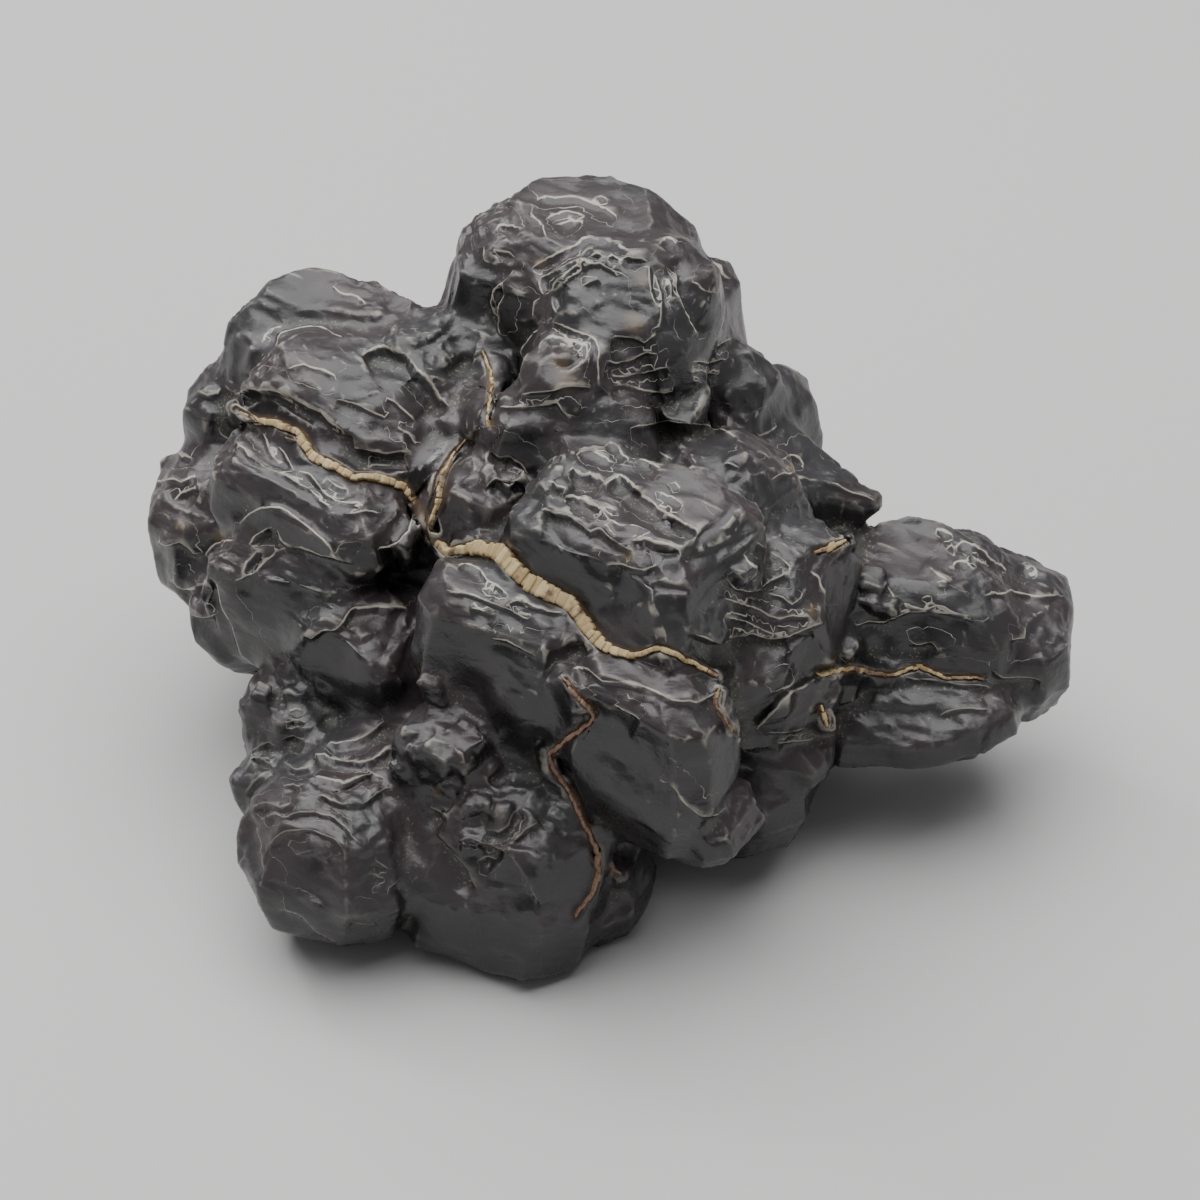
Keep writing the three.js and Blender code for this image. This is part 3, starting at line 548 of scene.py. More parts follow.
# Seams between the crystals. Each place on a route is right, up and the width of the fill there, in mm.
# The tint goes from 0, cream, to 1.6, reddish brown. The stone is raised to the seam within bed mm of it.
seams = {
    "main": {"tint": 0, "bed": 1.7, "route": [
        (-28.5, 15, 0.2), (-27.5, 14.3, 0.4), (-26, 14.2, 0.5), (-24.2, 13.4, 0.45),
        (-22.9, 11.4, 0.6), (-21, 10.6, 0.55), (-19.8, 9.8, 0.45), (-17.8, 9.8, 0.55), (-15.6, 9, 0.55),
        (-14.2, 7.2, 0.5), (-13.4, 5.2, 0.5), (-12.2, 3.8, 0.6), (-10, 4.2, 0.9), (-8, 3.8, 1.1),
        (-6.2, 1.8, 1.1), (-4, 0.5, 1.1), (-2.4, -0.2, 1), (-1, -2.2, 0.9), (0.2, -3.7, 0.7),
        (2.6, -4.5, 0.4), (4.8, -3.8, 0.3), (6.6, -4.6, 0.28), (9.2, -6, 0.25),
    ]},
    "keel": {"tint": 1.6, "bed": 1.6, "route": [
        (-2.8, -6.4, 0.16), (-1.4, -8.2, 0.18), (-0.4, -9, 0.2), (-0.8, -9.8, 0.22), (-2, -10.7, 0.25),
        (-4, -12.2, 0.2), (-3.8, -13.4, 0.25), (-2.2, -15.6, 0.26), (-1.4, -17.6, 0.22),
        (-0.2, -20.2, 0.26), (-0.2, -22, 0.22), (-0.6, -23.4, 0.18), (-2, -25.2, 0.12),
    ]},
    "fork": {"tint": 1.6, "bed": 1.6, "route": [(0, -20.3, 0.2), (0.7, -21.2, 0.2), (1.6, -22, 0.12)]},
    "arm": {"tint": 0.6, "bed": 1.6, "route": [
        (17.4, -5.9, 0.14), (20, -5.4, 0.24), (21.8, -5.8, 0.26), (23.2, -6, 0.2), (25.6, -5.3, 0.24),
        (27.6, -6.2, 0.2), (30.8, -6.2, 0.14),
    ]},
    "nook": {"tint": 0.8, "bed": 3, "route": [
        (-9.3, 19.6, 0.14), (-8.8, 18.4, 0.2), (-8.6, 17, 0.2), (-8.8, 15.4, 0.16), (-8.9, 14, 0.12),
    ]},
    "nookLow": {"tint": 0.8, "bed": 3.4, "route": [
        (-10.6, 13, 0.1), (-11.7, 11.6, 0.14), (-12.6, 9.8, 0.2), (-12.9, 8, 0.2), (-13.5, 6, 0.2),
    ]},
    "armRoot": {"tint": 0.2, "bed": 1.2, "route": [(17.4, 3.9, 0.2), (18.4, 4.2, 0.45), (19.5, 4.7, 0.2)]},
    "armFoot": {"tint": 0.4, "bed": 1.2, "route": [(17.7, -8.7, 0.2), (17.9, -9.3, 0.4), (18, -9.9, 0.2)]},
    "keelSide": {"tint": 1.2, "bed": 1.2, "route": [
        (9.4, -7.2, 0.12), (9.2, -8.4, 0.16), (10.4, -10.4, 0.12),
    ]},
}

stoneShape = {
    "weld": 0.002 * mm,  # corners of the CAD nearer than this are joined
    "roughVoxel": 0.45 * mm,
    "voxel": 0.19 * mm,
    "fillRounds": 48,  # how far the valleys between the blocks are filled
    "filledInside": 0.12 * mm,  # how far the filled body lies inside the blocks
    "crystalBevel": 0.22 * mm,
    "crystalSunk": 0.08,  # share of a small crystal's height that its middle lies below the CAD
    "bends": ((0.55 * mm, 6 * mm), (0.15 * mm, 2.6 * mm)),  # how far edges wander, over what length
    "stepTread": 0.8 * mm,  # of the growth steps beside the ridges
    "stepRise": 0.24 * mm,
    "swell": (0.13 * mm, 4.2 * mm),  # height and width of the soft swells
    "wrinkle": 0.15 * mm,
    "triangles": 196000,
    "heading": -32,  # of the crystals' shared lattice, in degrees
    "seed": 7145,
}

# Ledges along the shared lattice, in patches. The riser is a share of the cell, and so is the height.
latticeLedges = [
    {"cell": 2.1 * mm, "riser": 0.17, "height": 0.3, "patch": 8 * mm},
    {"cell": 0.95 * mm, "riser": 0.25, "height": 0.3, "patch": 5 * mm},
]


def latticeAxes():  # one to a row
    turn = math.radians(stoneShape["heading"])
    return np.array([[math.cos(turn), math.sin(turn), 0], [-math.sin(turn), math.cos(turn), 0], [0, 0, 1]])


def fillValleys(mesh, rounds):  # lets the concave places creep outward, and leaves the rest where it is
    points = readVectors(mesh, "co")
    pairs = readEdges(mesh)
    for turn in range(rounds):
        if turn % 5 == 0:  # the normals change slowly
            writePoints(mesh, points)
            normals = readVectors(mesh, "normal")
        outward = dots(relax(points, pairs, 1, 1.0) - points, normals)
        points += normals * np.clip(outward, 0, None)[:, None]
    points -= normals * stoneShape["filledInside"]
    writePoints(mesh, points)


def addBlock(shape, tree, crystal):
    place, normal = seenHit(tree, *crystal["at"])
    if place is None:
        print("no stone behind", crystal["at"])
        return
    heading, roll, pitch = [math.radians(angle) for angle in crystal["turn"]]
    size = [side * mm for side in crystal["size"]]
    centre = place - normal * size[2] * stoneShape["crystalSunk"]
    turned = Matrix.Rotation(heading, 4, "Z") @ Matrix.Rotation(pitch, 4, "Y")
    turned = turned @ Matrix.Rotation(roll, 4, "X")
    matrix = Matrix.Translation(centre) @ turned @ Matrix.Diagonal((*size, 1))
    made = bmesh.ops.create_cube(shape, size=1, matrix=matrix)
    edges = {edge for corner in made["verts"] for edge in corner.link_edges}
    bevel = stoneShape["crystalBevel"]
    bmesh.ops.bevel(shape, geom=list(edges), offset=bevel, segments=1, affect="EDGES")


def blockBody():  # the CAD blocks with the small crystals, and their valleys part filled
    shape = bmesh.new()
    shape.from_mesh(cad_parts["stone"].data)
    bmesh.ops.remove_doubles(shape, verts=shape.verts, dist=stoneShape["weld"])
    bmesh.ops.triangulate(shape, faces=shape.faces)
    shape.normal_update()
    groupOf, ridges = facesOfBlocks(shape)
    tree = BVHTree.FromBMesh(shape)
    blocks = bpy.data.meshes.new("stoneBlocks")
    shape.to_mesh(blocks)
    filled = newObject("filledBody", blocks.copy())
    fillValleys(remeshed(filled, stoneShape["roughVoxel"]), stoneShape["fillRounds"])
    for crystal in smallCrystals:
        addBlock(shape, tree, crystal)
    shape.from_mesh(filled.data)
    shape.to_mesh(blocks)
    shape.free()
    bpy.data.objects.remove(filled)
    piece = newObject("stoneBody", blocks)
    mesh = remeshed(piece, stoneShape["voxel"])
    print("stone remeshed:", len(mesh.vertices), "points")
    return piece, groupOf, ridges, tree


def latticeBump(points, normals, settings, seed):  # heights of the ledges along the lattice
    cell = settings["cell"]
    wavy = wandered(points, ((0.55 * cell, 3.6 * cell, seed), (0.13 * cell, 1.1 * cell, seed + 5)))
    cells = wavy @ latticeAxes().T / cell
    drop = (stairs(cells, settings["riser"]) - cells + 0.4) * cell * settings["height"]
    return dots(drop, normals @ latticeAxes().T)


def walk(right, up, line):  # distance from a line, positive on its right, how far along, and its corners
    best = np.full(len(right), 1e9)
    signed = np.zeros(len(right))
    along = np.zeros(len(right))
    passed = 0.0
    marks = [0.0]
    for (x, y), (nextX, nextY) in zip(line, line[1:]):
        stepX, stepY = nextX - x, nextY - y
        length = math.hypot(stepX, stepY)
        share = np.clip(((right - x) * stepX + (up - y) * stepY) / length**2, 0, 1)
        awayX, awayY = right - x - share * stepX, up - y - share * stepY
        gap = np.hypot(awayX, awayY)
        closer = gap < best
        best = np.where(closer, gap, best)
        signed = np.where(closer, gap * np.sign(stepY * awayX - stepX * awayY), signed)
        along = np.where(closer, passed + share * length, along)
        passed += length
        marks.append(passed)
    return signed, along, marks


noneNear = 2.0  # mm that a point counts as away from a line or seam, where none is nearer

ledgeShape = {
    "facing": (0.05, 0.4),  # how far a face has to turn to the camera to show its first and its full ledges
    "wobbles": ((0.07, 0.9), (0.1, 2.3)),  # how far a line strays, over what length, in mm
    "taper": 0.7,  # mm over which each end of a line fades
    "apart": (2, 3.5),  # mm in depth between stone and line, where the ledge starts and ends to fade
    "raised": 0.22,  # share of the drop that stands up above the line
    "cut": 0.78,  # share of the drop that is cut in below it
}


def drawnLedges(points, broad, tree, seed):  # heights, distance to the nearest line, and how much it shows
    right, up, forward = asSeen(points)
    facing = smoothStep(*ledgeShape["facing"], broad @ np.array(toCamera))
    bump = np.zeros(len(points))
    nearest = np.full(len(points), noneNear)
    shown = np.zeros(len(points))
    flat = np.stack([right, up, 0 * up], axis=1)
    wobble = np.zeros(len(points))
    for turn, (depth, length) in enumerate(ledgeShape["wobbles"]):
        wobble += depth * lumpNoise(flat, length, seed + turn)
    for group in ledges.values():
        drop, reach = group["drop"], group["reach"]
        for line in group["lines"]:
            corners = np.array(line)
            low, high = corners.min(0) - reach, corners.max(0) + reach
            inside = (right > low[0]) & (right < high[0]) & (up > low[1]) & (up < high[1]) & (facing > 0)
            members = np.nonzero(inside)[0]
            signed, along, marks = walk(right[members], up[members], line)
            signed += wobble[members]
            hits = [seenHit(tree, *corner)[0] for corner in line]
            depths = np.array([asSeen(np.array([hit]))[2][0] if hit else np.nan for hit in hits])
            if np.isnan(depths).all():
                continue
            depths[np.isnan(depths)] = np.nanmin(depths)
            gap = np.abs(forward[members] - np.interp(along, marks, depths))
            fade = ledgeShape["taper"]
            taper = smoothStep(0, fade, along) * smoothStep(0, fade, marks[-1] - along) * facing[members]
            taper *= 1 - smoothStep(*ledgeShape["apart"], gap)
            # steep next to the line, then a slow return to the face on each side
            below = smoothStep(-0.04, 0.26, signed) * (1 - smoothStep(0.3, reach, signed))
            above = smoothStep(-0.1, 0.0, -signed) * (1 - smoothStep(0, reach * 0.7, -signed))
            height = ledgeShape["raised"] * above - ledgeShape["cut"] * below
            bump[members] += height * drop * taper * mm
            closer = (np.abs(signed) < np.abs(nearest[members])) & (taper > 0.02)
            nearest[members] = np.where(closer, signed, nearest[members])
            shown[members] = np.where(closer, taper, shown[members])
    return bump, nearest, shown


seamShape = {
    "step": 0.3,  # mm between the places on a path
    "bridge": 8,  # places to each side over which a path bridges the pits
    "even": 4,  # places to each side over which it is evened out
    "lean": 0.6,  # how much the fill turns to the camera
    "highest": (10, 14),  # mm that a bed is raised at most, before and after it fades out
    "cutBack": 1.5,  # mm that stone in front of a seam is cut back at most
    "tooFar": 2.5,  # mm in front of a seam where the stone is left as it is
    "near": (-2, 11),  # mm behind a seam, from where to where the stone counts as beside it
    "turnedAway": -0.3,  # stone that faces farther from the camera is left as it is
    "groove": 0.28,  # mm deep
    "fillSunk": 0.08,  # mm from the path to the middle of the ribs
    "fillWidth": 1.15,  # against the width that the route gives
}


def evened(values, span):  # running average, span places to each side
    padded = np.pad(values, span, "edge")
    return np.convolve(padded, np.ones(2 * span + 1) / (2 * span + 1), "valid")


def seamPaths(tree):  # each route laid on the stone as seen, in short steps
    paths = []
    for seam in seams.values():
        route = np.array(seam["route"])
        marks = np.concatenate([[0], np.cumsum(np.hypot(*np.diff(route[:, :2], axis=0).T))])
        along = np.arange(0, marks[-1], seamShape["step"])
        right, up, width = (np.interp(along, marks, route[:, column]) for column in range(3))
        hits = [seenHit(tree, *place) for place in zip(right, up)]
        met = [index for index, hit in enumerate(hits) if hit[0]]  # the others are filled in between
        depths = asSeen(np.array([hits[index][0] for index in met]))[2]
        depth = np.interp(np.arange(len(along)), met, depths)
        for _ in range(3):
            depth = np.maximum(depth, evened(depth, seamShape["bridge"]))
        depth = evened(depth, seamShape["even"])
        facing = np.array([hit[1] or toCamera for hit in hits]).T
        facing = np.stack([evened(row, seamShape["even"]) for row in facing], axis=1)
        facing += seamShape["lean"] * np.array(toCamera)
        paths.append({**seam, "right": right, "up": up, "width": width, "depth": depth, "facing": facing})
    return paths


def layBeds(points, broad, paths):  # brings the stone level with each seam, with a groove for its fill
    right, up, forward = asSeen(points)
    lift = np.zeros(len(points))
    nearest = np.full(len(points), noneNear)
    facing = broad @ np.array(toCamera) > seamShape["turnedAway"]
    for path in paths:
        line = list(zip(path["right"], path["up"]))
        corners = np.array(line)
        low, high = corners.min(0) - path["bed"], corners.max(0) + path["bed"]
        inside = (right > low[0]) & (right < high[0]) & (up > low[1]) & (up < high[1]) & facing
        members = np.nonzero(inside)[0]
        signed, along, marks = walk(right[members], up[members], line)
        gap = np.abs(signed)
        halfWidth = np.interp(along, marks, path["width"]) / 2
        below = np.interp(along, marks, path["depth"]) - forward[members]
        raised = np.clip(below, 0, None) * (1 - smoothStep(halfWidth + 0.2, path["bed"], gap))
        raised *= 1 - smoothStep(*seamShape["highest"], below)
        lowered = np.clip(below, -seamShape["cutBack"], 0) * (below > -seamShape["tooFar"])
        lowered *= 1 - smoothStep(halfWidth + 0.1, halfWidth + 0.7, gap)
        close = (below > seamShape["near"][0]) & (below < seamShape["near"][1])
        groove = seamShape["groove"] * (1 - smoothStep(halfWidth * 0.8, halfWidth * 1.3 + 0.1, gap)) * close
        shift = raised + lowered - groove
        lift[members] = np.where(np.abs(shift) > np.abs(lift[members]), shift, lift[members])
        nearest[members] = np.where(close, np.minimum(nearest[members], gap - halfWidth), nearest[members])
    return points + np.array(toCamera) * lift[:, None] * mm, nearest


def addRelief(bump, points, broad, upward, gaps, rim):  # the relief that follows no drawn line
    seed = stoneShape["seed"]
    front = smoothStep(-0.1, 0.3, broad @ np.array(toCamera))

    # away from the drawn ledges, others follow the lattice that most of the crystals share, in patches
    clear = smoothStep(0.3, 1.4, np.abs(rim))
    for index, settings in enumerate(latticeLedges):
        share = smoothStep(-0.05, 0.3, lumpNoise(points, settings["patch"], seed + 60 + index))
        share *= clear * (0.35 + 0.65 * upward) * (1 - 0.25 * front)
        bump += latticeBump(points, broad, settings, seed + 40 + 20 * index) * share

    # growth steps run beside the ridges
    steps = gaps / stoneShape["stepTread"] + 0.7 * lumpNoise(points, 5 * mm, seed + 2)
    steps += 0.2 * lumpNoise(points, 1.7 * mm, seed + 3)
    patch = smoothStep(-0.1, 0.3, lumpNoise(points, 6 * mm, seed + 4))
    patch *= 1 - smoothStep(2.2 * mm, 3.4 * mm, gaps)
    rise = (stairs(steps, 0.2) - steps) * stoneShape["stepRise"]
    bump += rise * patch * (0.3 + 0.7 * upward) * (1 - 0.35 * front)

    # soft swells, and wrinkles drawn out along the lattice
    height, size = stoneShape["swell"]
    bump += height * lumpNoise(points, size, seed + 5)
    drawnOut = points @ latticeAxes().T * (0.36, 1, 1)
    wrinkle = np.abs(lumpNoise(drawnOut, 1.1 * mm, seed + 6))
    wrinkle += 0.5 * np.abs(lumpNoise(drawnOut, 0.55 * mm, seed + 7))
    lowDown = 1 - smoothStep(8 * mm, 18 * mm, points[:, 2])
    bump += (0.4 - wrinkle) * stoneShape["wrinkle"] * (0.2 + 0.8 * np.maximum(upward, 0.6 * lowDown))


def storeForFinish(mesh, points, pairs, facing, values):  # what the finish reads at each point
    normals = readVectors(mesh, "normal")
    raised = dots(points - relax(points, pairs, 6), normals) / (0.05 * mm)
    hollow = dots(relax(points, pairs, 70) - points, normals) / (0.5 * mm)
    right, up = asSeen(points)[:2]
    stained = np.zeros(len(points))
    for x, y, radius in stains:
        stained = np.maximum(stained, 1 - np.hypot(right - x, up - y) / radius)
    # raised places, which the finish turns into a painted highlight that is partly real worn polish
    values["wearAndSheen"] = np.clip(raised, -1, 1)
    values["hollow"] = np.clip(hollow, -1, 1)
    values["stain"] = stained * facing
    for name, value in values.items():
        storeValue(mesh, name, value)


def growStone():
    piece, groupOf, ridges, blockTree = blockBody()
    mesh = piece.data
    seed = stoneShape["seed"]
    pairs = readEdges(mesh)
    points = relax(readVectors(mesh, "co"), pairs, 2)
    gaps = edgeGaps(points, groupOf, ridges, blockTree)

    # no edge stays straight
    (far, longSize), (near, shortSize) = stoneShape["bends"]
    bent = wandered(points, ((far, longSize, seed + 20), (near, shortSize, seed + 30)))
    writePoints(mesh, bent)
    broad = relax(readVectors(mesh, "normal"), pairs, 12)
    broad /= np.linalg.norm(broad, axis=1)[:, None]
    upward = smoothStep(0.05, 0.65, broad[:, 2])

    polygons = [tuple(polygon.vertices) for polygon in mesh.polygons]
    tree = BVHTree.FromPolygons([Vector(point) for point in bent], polygons)
    paths = seamPaths(tree)
    points, seamGap = layBeds(bent, broad, paths)
    writePoints(mesh, points)
    normals = readVectors(mesh, "normal")
    print("seam beds laid")

    tree = BVHTree.FromPolygons([Vector(point) for point in points], polygons)
    bump, rim, shown = drawnLedges(points, broad, tree, seed + 70)
    print("ledges drawn")
    addRelief(bump, points, broad, upward, gaps, rim)
    points += normals * (bump * smoothStep(-0.05, 0.8, seamGap))[:, None]
    points = relax(points, pairs, 1, 0.35)
    points[:, 2] = np.maximum(points[:, 2], 0)
    writePoints(mesh, points)
    print("stone shaped")

    storeForFinish(mesh, points, pairs, broad @ np.array(toCamera) > 0, {
        "upward": upward,
        "edge": gaps / mm,
        "rim": np.clip(rim, -1, 1),
        "rimShown": shown * smoothStep(0, 0.5, seamGap),
        "seam": seamGap,
    })
    thin = piece.modifiers.new("thin", "DECIMATE")
    triangles = sum(len(polygon) - 2 for polygon in polygons)
    thin.ratio = min(1, stoneShape["triangles"] / triangles)
    applyModifiers(piece)
    piece.data.shade_smooth()
    print("stone thinned to", len(piece.data.polygons), "faces")
    return piece, paths


# Fill of the seams: rounded ribs side by side across each seam

ribSettings = {
    "spacing": 0.42 * mm,
    "thickness": 0.56 * mm,
    "height": 0.6 * mm,
    "jitter": 0.07 * mm,
    "seed": 12,
}


def ribNodes(material):  # rounded cubes along each curve, turned to lie across it
    tree = bpy.data.node_groups.new("seamRibs", "GeometryNodeTree")
    tree.interface.new_socket("Geometry", in_out="OUTPUT", socket_type="NodeSocketGeometry")
    tree.interface.new_socket("Geometry", in_out="INPUT", socket_type="NodeSocketGeometry")
    wanted = {}
    for name, value in ribSettings.items():
        kind = "NodeSocketInt" if name == "seed" else "NodeSocketFloat"
        wanted[tree.interface.new_socket(name, in_out="INPUT", socket_type=kind).identifier] = value

    def node(kind, inputs=None, output=0, **settings):
        return addNode(tree, kind, inputs, **settings).outputs[output]

    def random(low, high, offset):
        seed = node("ShaderNodeMath", {0: given["seed"], 1: offset})
        return node("FunctionNodeRandomValue", {2: low, 3: high, "Seed": seed}, output=1)

    def times(one, two):
        return node("ShaderNodeMath", {0: one, 1: two}, operation="MULTIPLY")

    given = addNode(tree, "NodeGroupInput").outputs
    curve = node("GeometryNodeMeshToCurve", {"Mesh": given["Geometry"]})
    resample = {"Curve": curve, "Length": given["spacing"]}
    places = node("GeometryNodeResampleCurve", resample, mode="LENGTH")
    ends = {0: (-1, -1, -1), 1: (1, 1, 1)}
    wander = node("FunctionNodeRandomValue", ends, data_type="FLOAT_VECTOR")
    shift = node("ShaderNodeVectorMath", {0: wander, "Scale": given["jitter"]}, operation="SCALE")
    places = node("GeometryNodeSetPosition", {"Geometry": places, "Offset": shift})
    tangent = node("GeometryNodeInputTangent")
    facing = node("GeometryNodeInputNamedAttribute", {"Name": "facing"}, data_type="FLOAT_VECTOR")
    width = node("GeometryNodeInputNamedAttribute", {"Name": "width"}, data_type="FLOAT")
    turn = node("FunctionNodeAlignRotationToVector", {"Vector": tangent}, axis="X")
    aim = {"Rotation": turn, "Vector": facing}
    turn = node("FunctionNodeAlignRotationToVector", aim, axis="Z", pivot_axis="X")
    size = node("ShaderNodeCombineXYZ", {
        "X": times(given["thickness"], random(0.8, 1.2, 1)),
        "Y": times(width, random(0.75, 1.15, 2)),
        "Z": times(given["height"], random(0.7, 1.2, 3)),
    })
    cube = node("GeometryNodeMeshCube", {"Size": (1, 1, 1)})
    rounded = node("GeometryNodeSubdivisionSurface", {"Mesh": cube, "Level": 2, "Edge Crease": 0.45})
    placed = {"Points": places, "Instance": rounded, "Rotation": turn, "Scale": size}
    ribs = node("GeometryNodeInstanceOnPoints", placed)
    toned = {"Geometry": ribs, "Name": "tone", "Value": random(0.0, 1.0, 4)}
    ribs = node("GeometryNodeStoreNamedAttribute", toned, data_type="FLOAT", domain="INSTANCE")
    solid = node("GeometryNodeRealizeInstances", {"Geometry": ribs})
    solid = node("GeometryNodeSetMaterial", {"Geometry": solid, "Material": material})
    addNode(tree, "NodeGroupOutput", {"Geometry": solid})
    return tree, wanted


def seamFill(paths, material):  # one mesh of ribs along all the seams
    corners, edges, widths, facings, tints = [], [], [], [], []
    for path in paths:
        away = 1 - path["depth"] * mm / sight["away"]
        first = len(corners)
        for right, up, depth, nearer in zip(path["right"], path["up"], path["depth"], away):
            corners.append(seenPlace(right * nearer, up * nearer, depth - seamShape["fillSunk"]))
        edges += [(index, index + 1) for index in range(first, len(corners) - 1)]
        widths.append(path["width"] * seamShape["fillWidth"] * mm)
        facings.append(path["facing"])
        tints.append(np.full(len(away), path["tint"]))
    mesh = bpy.data.meshes.new("seamPaths")
    mesh.from_pydata(corners, edges, [])
    storeValue(mesh, "width", np.concatenate(widths))
    storeValue(mesh, "tint", np.concatenate(tints))
    facing = mesh.attributes.new("facing", "FLOAT_VECTOR", "POINT")
    facing.data.foreach_set("vector", np.concatenate(facings).astype(np.float32).ravel())
    piece = newObject("seamFill", mesh)
    ribs = piece.modifiers.new("ribs", "NODES")
    ribs.node_group, wanted = ribNodes(material)
    for identifier, value in wanted.items():
        ribs[identifier] = value
    applyModifiers(piece)
    piece.data.shade_smooth()
    print("seam fill:", len(piece.data.polygons), "faces")
    return piece


# Finishes


class Finish:  # a short way to build a node material
    def __init__(self, name):
        self.material = bpy.data.materials.new(name)
        self.material.use_nodes = True
        self.tree = self.material.node_tree
        self.tree.nodes.clear()
        self.place = self.node("ShaderNodeTexCoord", output="Object")

    def node(self, kind, inputs=None, output=0, **settings):
        return addNode(self.tree, kind, inputs, **settings).outputs[output]

    def math(self, operation, one, two=0.0, clamp=False):
        return self.node("ShaderNodeMath", {0: one, 1: two}, operation=operation, use_clamp=clamp)

    def plus(self, one, two):
        return self.math("ADD", one, two)

    def times(self, one, two, clamp=False):
        return self.math("MULTIPLY", one, two, clamp)

    def fadeOut(self, distance, width):  # from 1 at no distance down to 0 at the width
        return self.math("SUBTRACT", 1.0, self.math("DIVIDE", distance, width), True)

    def spread(self, value, low, high, start=0.0, end=1.0):
        ends = {"Value": value, "From Min": low, "From Max": high, "To Min": start, "To Max": end}
        return self.node("ShaderNodeMapRange", ends, "Result", interpolation_type="SMOOTHSTEP")

    def attribute(self, name):
        return self.node("ShaderNodeAttribute", output="Fac", attribute_name=name)

    def noise(self, scale, detail=3.0, roughness=0.55, distortion=0.0, place=None):
        inputs = {"Vector": place or self.place, "Scale": scale, "Detail": detail, "Roughness": roughness}
        return self.node("ShaderNodeTexNoise", {**inputs, "Distortion": distortion}, "Fac")

    def mixColour(self, factor, one, two):
        return self.node("ShaderNodeMix", {0: factor, 6: one, 7: two}, 2, data_type="RGBA")

    def shade(self, inputs):
        shader = self.node("ShaderNodeBsdfPrincipled", inputs)
        addNode(self.tree, "ShaderNodeOutputMaterial", {"Surface": shader})
        return self.material


oxideColours = {
    "steep": (0.0055, 0.005, 0.0052, 1),
    # the tops' grey and brown: a painted sheen of light from above, over the stone's own hue
    "greyTopSheen": (0.034, 0.0325, 0.0345, 1),
    "brownTopSheen": (0.042, 0.032, 0.034, 1),
    "dust": (0.045, 0.046, 0.039, 1),
    "grain": (0.22, 0.2, 0.16, 1),
    "stain": (0.17, 0.12, 0.06, 1),
    "besideSeam": (0.13, 0.085, 0.05, 1),
    # a painted highlight for the rims and raised edges, partly real worn polish
    "polishedHighlight": (0.5, 0.47, 0.4, 1),
}


def oxideFinish():
    finish = Finish("ironOxide")
    alongLattice = finish.node("ShaderNodeMapping", {
        "Vector": finish.place,
        "Rotation": (0, 0, -math.radians(stoneShape["heading"])),
        "Scale": (0.4, 1, 1),
    })
    wearAndSheen = finish.attribute("wearAndSheen")
    hollow = finish.attribute("hollow")
    upward = finish.attribute("upward")
    broad = finish.noise(110, 3)
    blotch = finish.noise(420, 4)
    speck = finish.noise(4200, 2, 0.6)

    # the stone's own charcoal on the steep faces, and on the faces that turn up a painted sheen, greyer and
    # browner, for the light they catch from above
    browner = finish.spread(broad, 0.4, 0.6)
    topSheenColour = finish.mixColour(browner, oxideColours["greyTopSheen"], oxideColours["brownTopSheen"])
    topSheen = finish.spread(finish.plus(upward, blotch), 0.3, 1.3)
    colour = finish.mixColour(topSheen, oxideColours["steep"], topSheenColour)

    # dust and pale grains in the hollows, spots of stain, and a brown margin beside the seams
    dusty = finish.spread(hollow, 0.15, 0.9)
    colour = finish.mixColour(finish.times(dusty, 0.75), colour, oxideColours["dust"])
    grains = finish.times(finish.spread(hollow, 0.1, 0.5), finish.spread(speck, 0.59, 0.67))
    colour = finish.mixColour(finish.times(grains, 0.8), colour, oxideColours["grain"])
    stain = finish.plus(finish.attribute("stain"), finish.times(blotch, 0.6))
    stain = finish.spread(stain, 0.5, 1.1)
    colour = finish.mixColour(finish.times(stain, 0.45), colour, oxideColours["stain"])
    seam = finish.plus(finish.attribute("seam"), finish.times(blotch, 0.5))
    seam = finish.spread(seam, 0.6, 0.2)
    colour = finish.mixColour(finish.times(seam, 0.8), colour, oxideColours["besideSeam"])

    # painted highlight on the rims and raised edges, partly real worn polish: bright, thin and broken, and
    # weaker low down
    line = finish.fadeOut(finish.math("ABSOLUTE", finish.plus(finish.attribute("rim"), 0.05)), 0.08)
    line = finish.times(finish.times(line, finish.attribute("rimShown")), 2.0, True)
    edge = finish.fadeOut(finish.attribute("edge"), 0.22)
    edge = finish.times(edge, finish.times(finish.spread(wearAndSheen, 0.2, 0.6), upward))
    breaks = finish.spread(finish.noise(330, 3), 0.32, 0.47)
    rimHighlight = finish.times(finish.math("MAXIMUM", line, finish.times(edge, 0.3)), breaks)
    wornAndSheen = finish.times(finish.spread(wearAndSheen, 0.4, 1.0), finish.spread(blotch, 0.45, 0.62))
    rimHighlight = finish.math("MAXIMUM", rimHighlight, finish.times(wornAndSheen, 0.6))
    height = finish.node("ShaderNodeSeparateXYZ", {"Vector": finish.place}, "Z")
    rimHighlight = finish.times(rimHighlight, finish.spread(height, 12 * mm, 22 * mm, 0.3, 1.0))
    colour = finish.mixColour(finish.times(rimHighlight, 0.85), colour, oxideColours["polishedHighlight"])

    # glossy, and duller on the tops and in the hollows, with fine wrinkles
    rough = finish.plus(finish.spread(blotch, 0.3, 0.7, 0.24, 0.34), finish.times(upward, 0.12))
    rough = finish.plus(rough, finish.times(dusty, 0.25))
    wrinkle = finish.noise(900, 4, 0.55, 0.4, alongLattice)
    skin = finish.noise(2600, 3, 0.6)
    relief = finish.plus(finish.times(wrinkle, 1.5), finish.times(skin, 0.6))
    relief = finish.plus(relief, finish.times(line, 0.4))
    bump = finish.node("ShaderNodeBump", {"Height": relief, "Distance": 0.06 * mm, "Strength": 0.7})
    return finish.shade({"Base Color": colour, "Roughness": rough, "Normal": bump, "IOR": 1.6})


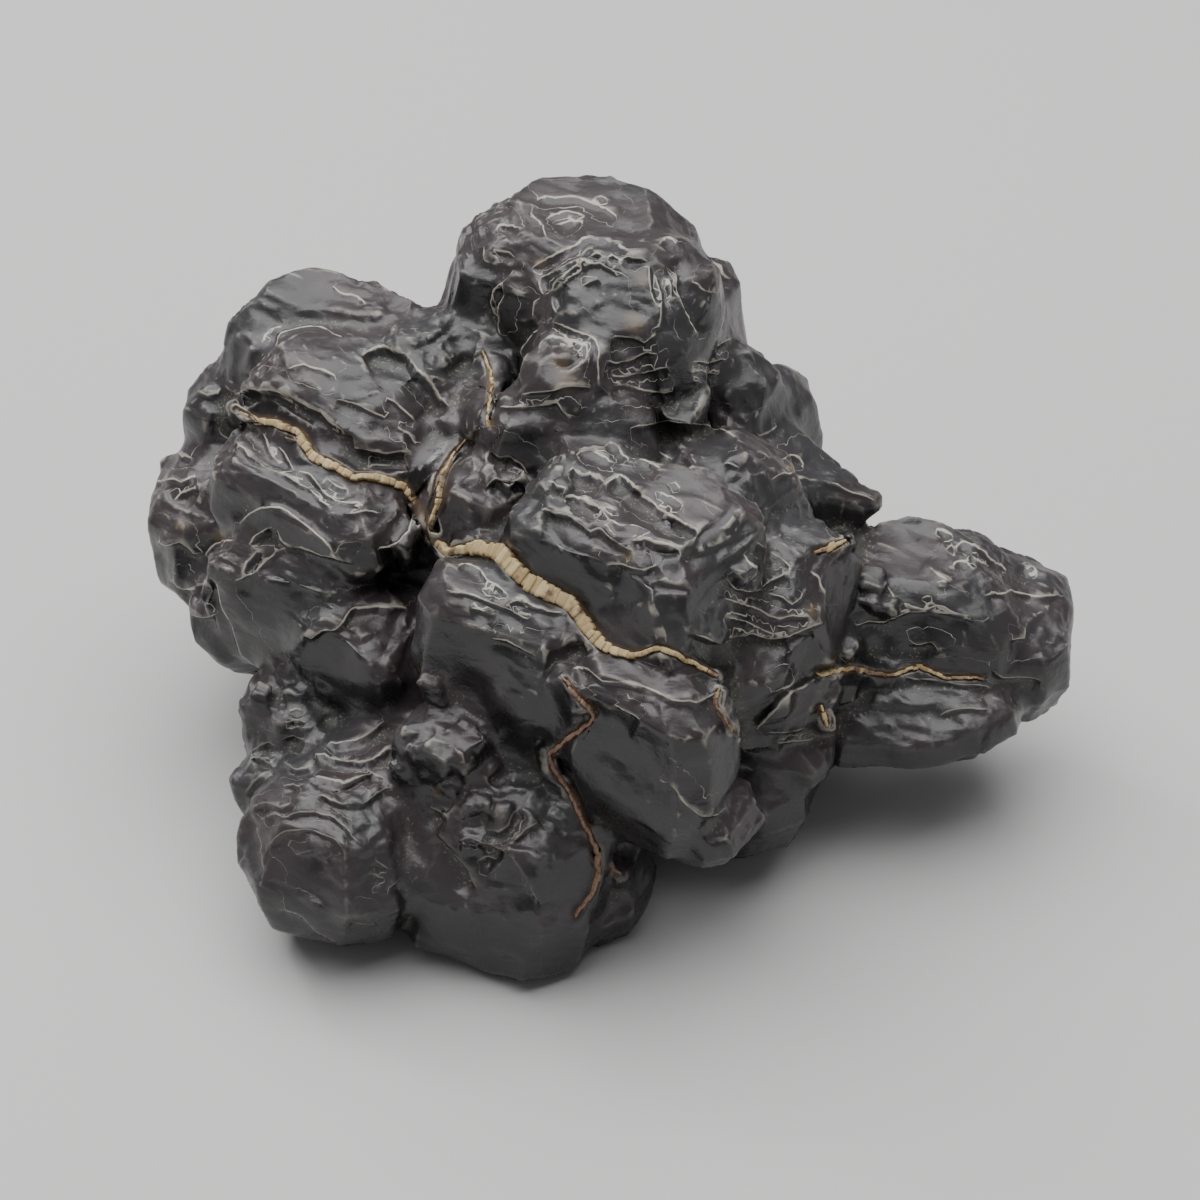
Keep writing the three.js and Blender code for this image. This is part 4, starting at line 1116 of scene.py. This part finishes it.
veinColours = {
    "cream": ((0.4, 0.285, 0.14, 1), (0.6, 0.48, 0.27, 1)),  # of the darkest rib and of the lightest
    "brown": ((0.12, 0.07, 0.042, 1), (0.24, 0.15, 0.1, 1)),
    "reddish": (0.26, 0.155, 0.115, 1),
    "grain": (0.12, 0.08, 0.05, 1),
}


def veinFinish():
    finish = Finish("tanVein")
    tone = finish.attribute("tone")
    tint = finish.attribute("tint")
    patches = finish.noise(500, 3)
    grain = finish.noise(5200, 3, 0.6)
    cream = finish.mixColour(tone, *veinColours["cream"])
    brown = finish.mixColour(tone, *veinColours["brown"])
    browner = finish.plus(finish.times(tint, 0.5), finish.spread(patches, 0.45, 0.7))
    colour = finish.mixColour(finish.spread(browner, 0.3, 1.0), cream, brown)
    colour = finish.mixColour(finish.spread(tint, 1.0, 1.6, 0.0, 0.6), colour, veinColours["reddish"])
    colour = finish.mixColour(finish.spread(grain, 0.6, 0.72, 0.0, 0.5), colour, veinColours["grain"])
    bump = finish.node("ShaderNodeBump", {"Height": grain, "Distance": 0.04 * mm, "Strength": 0.5})
    return finish.shade({"Base Color": colour, "Roughness": 0.75, "Normal": bump})


# Table, light and camera

studio = {
    "tableReach": 1.5,
    "tableColour": (0.6, 0.59, 0.58, 1),
    "tableRoughness": 0.75,
    "skyColour": (0.95, 0.95, 1, 1),
    "skyStrength": 0.22,
    "lamps": (
        {"name": "softAbove", "at": (-0.05, 0.1, 0.6), "size": 0.8, "watts": 7.5},
        {"name": "glint", "at": (-0.3, 0.3, 0.4), "size": 0.1, "watts": 0.5},
    ),
}


def setStage():
    table = bpy.data.meshes.new("table")
    reach = studio["tableReach"]
    corners = [(-reach, -reach, 0), (reach, -reach, 0), (reach, reach, 0), (-reach, reach, 0)]
    table.from_pydata(corners, [], [(0, 1, 2, 3)])
    tableTop = newObject("tableTop", table)
    look = {"Base Color": studio["tableColour"], "Roughness": studio["tableRoughness"]}
    table.materials.append(Finish("paleTable").shade(look))

    world = bpy.data.worlds.new("studio")
    world.use_nodes = True
    sky = world.node_tree.nodes["Background"].inputs
    sky["Color"].default_value = studio["skyColour"]
    sky["Strength"].default_value = studio["skyStrength"]
    bpy.context.scene.world = world
    for lamp in studio["lamps"]:
        light = bpy.data.lights.new(lamp["name"], "AREA")
        light.energy = lamp["watts"]
        light.size = lamp["size"]
        holder = newObject(lamp["name"], light)
        holder.location = lamp["at"]
        holder.rotation_euler = (sight["aim"] - holder.location).to_track_quat("-Z", "Y").to_euler()

    camera = bpy.data.cameras.new("camera")
    camera.lens = sight["lens"]
    camera.sensor_width = sight["sensor"]
    camera.clip_start = 0.01
    holder = newObject("camera", camera)
    holder.location = cameraPlace
    holder.rotation_euler = (-toCamera).to_track_quat("-Z", "Y").to_euler()
    bpy.context.scene.camera = holder


setStage()
stone, paths = growStone()
stone.data.materials.append(oxideFinish())
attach(stone, "root")
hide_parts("stone")
fill = seamFill(paths, veinFinish())
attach(fill, "root")
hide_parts("stone")
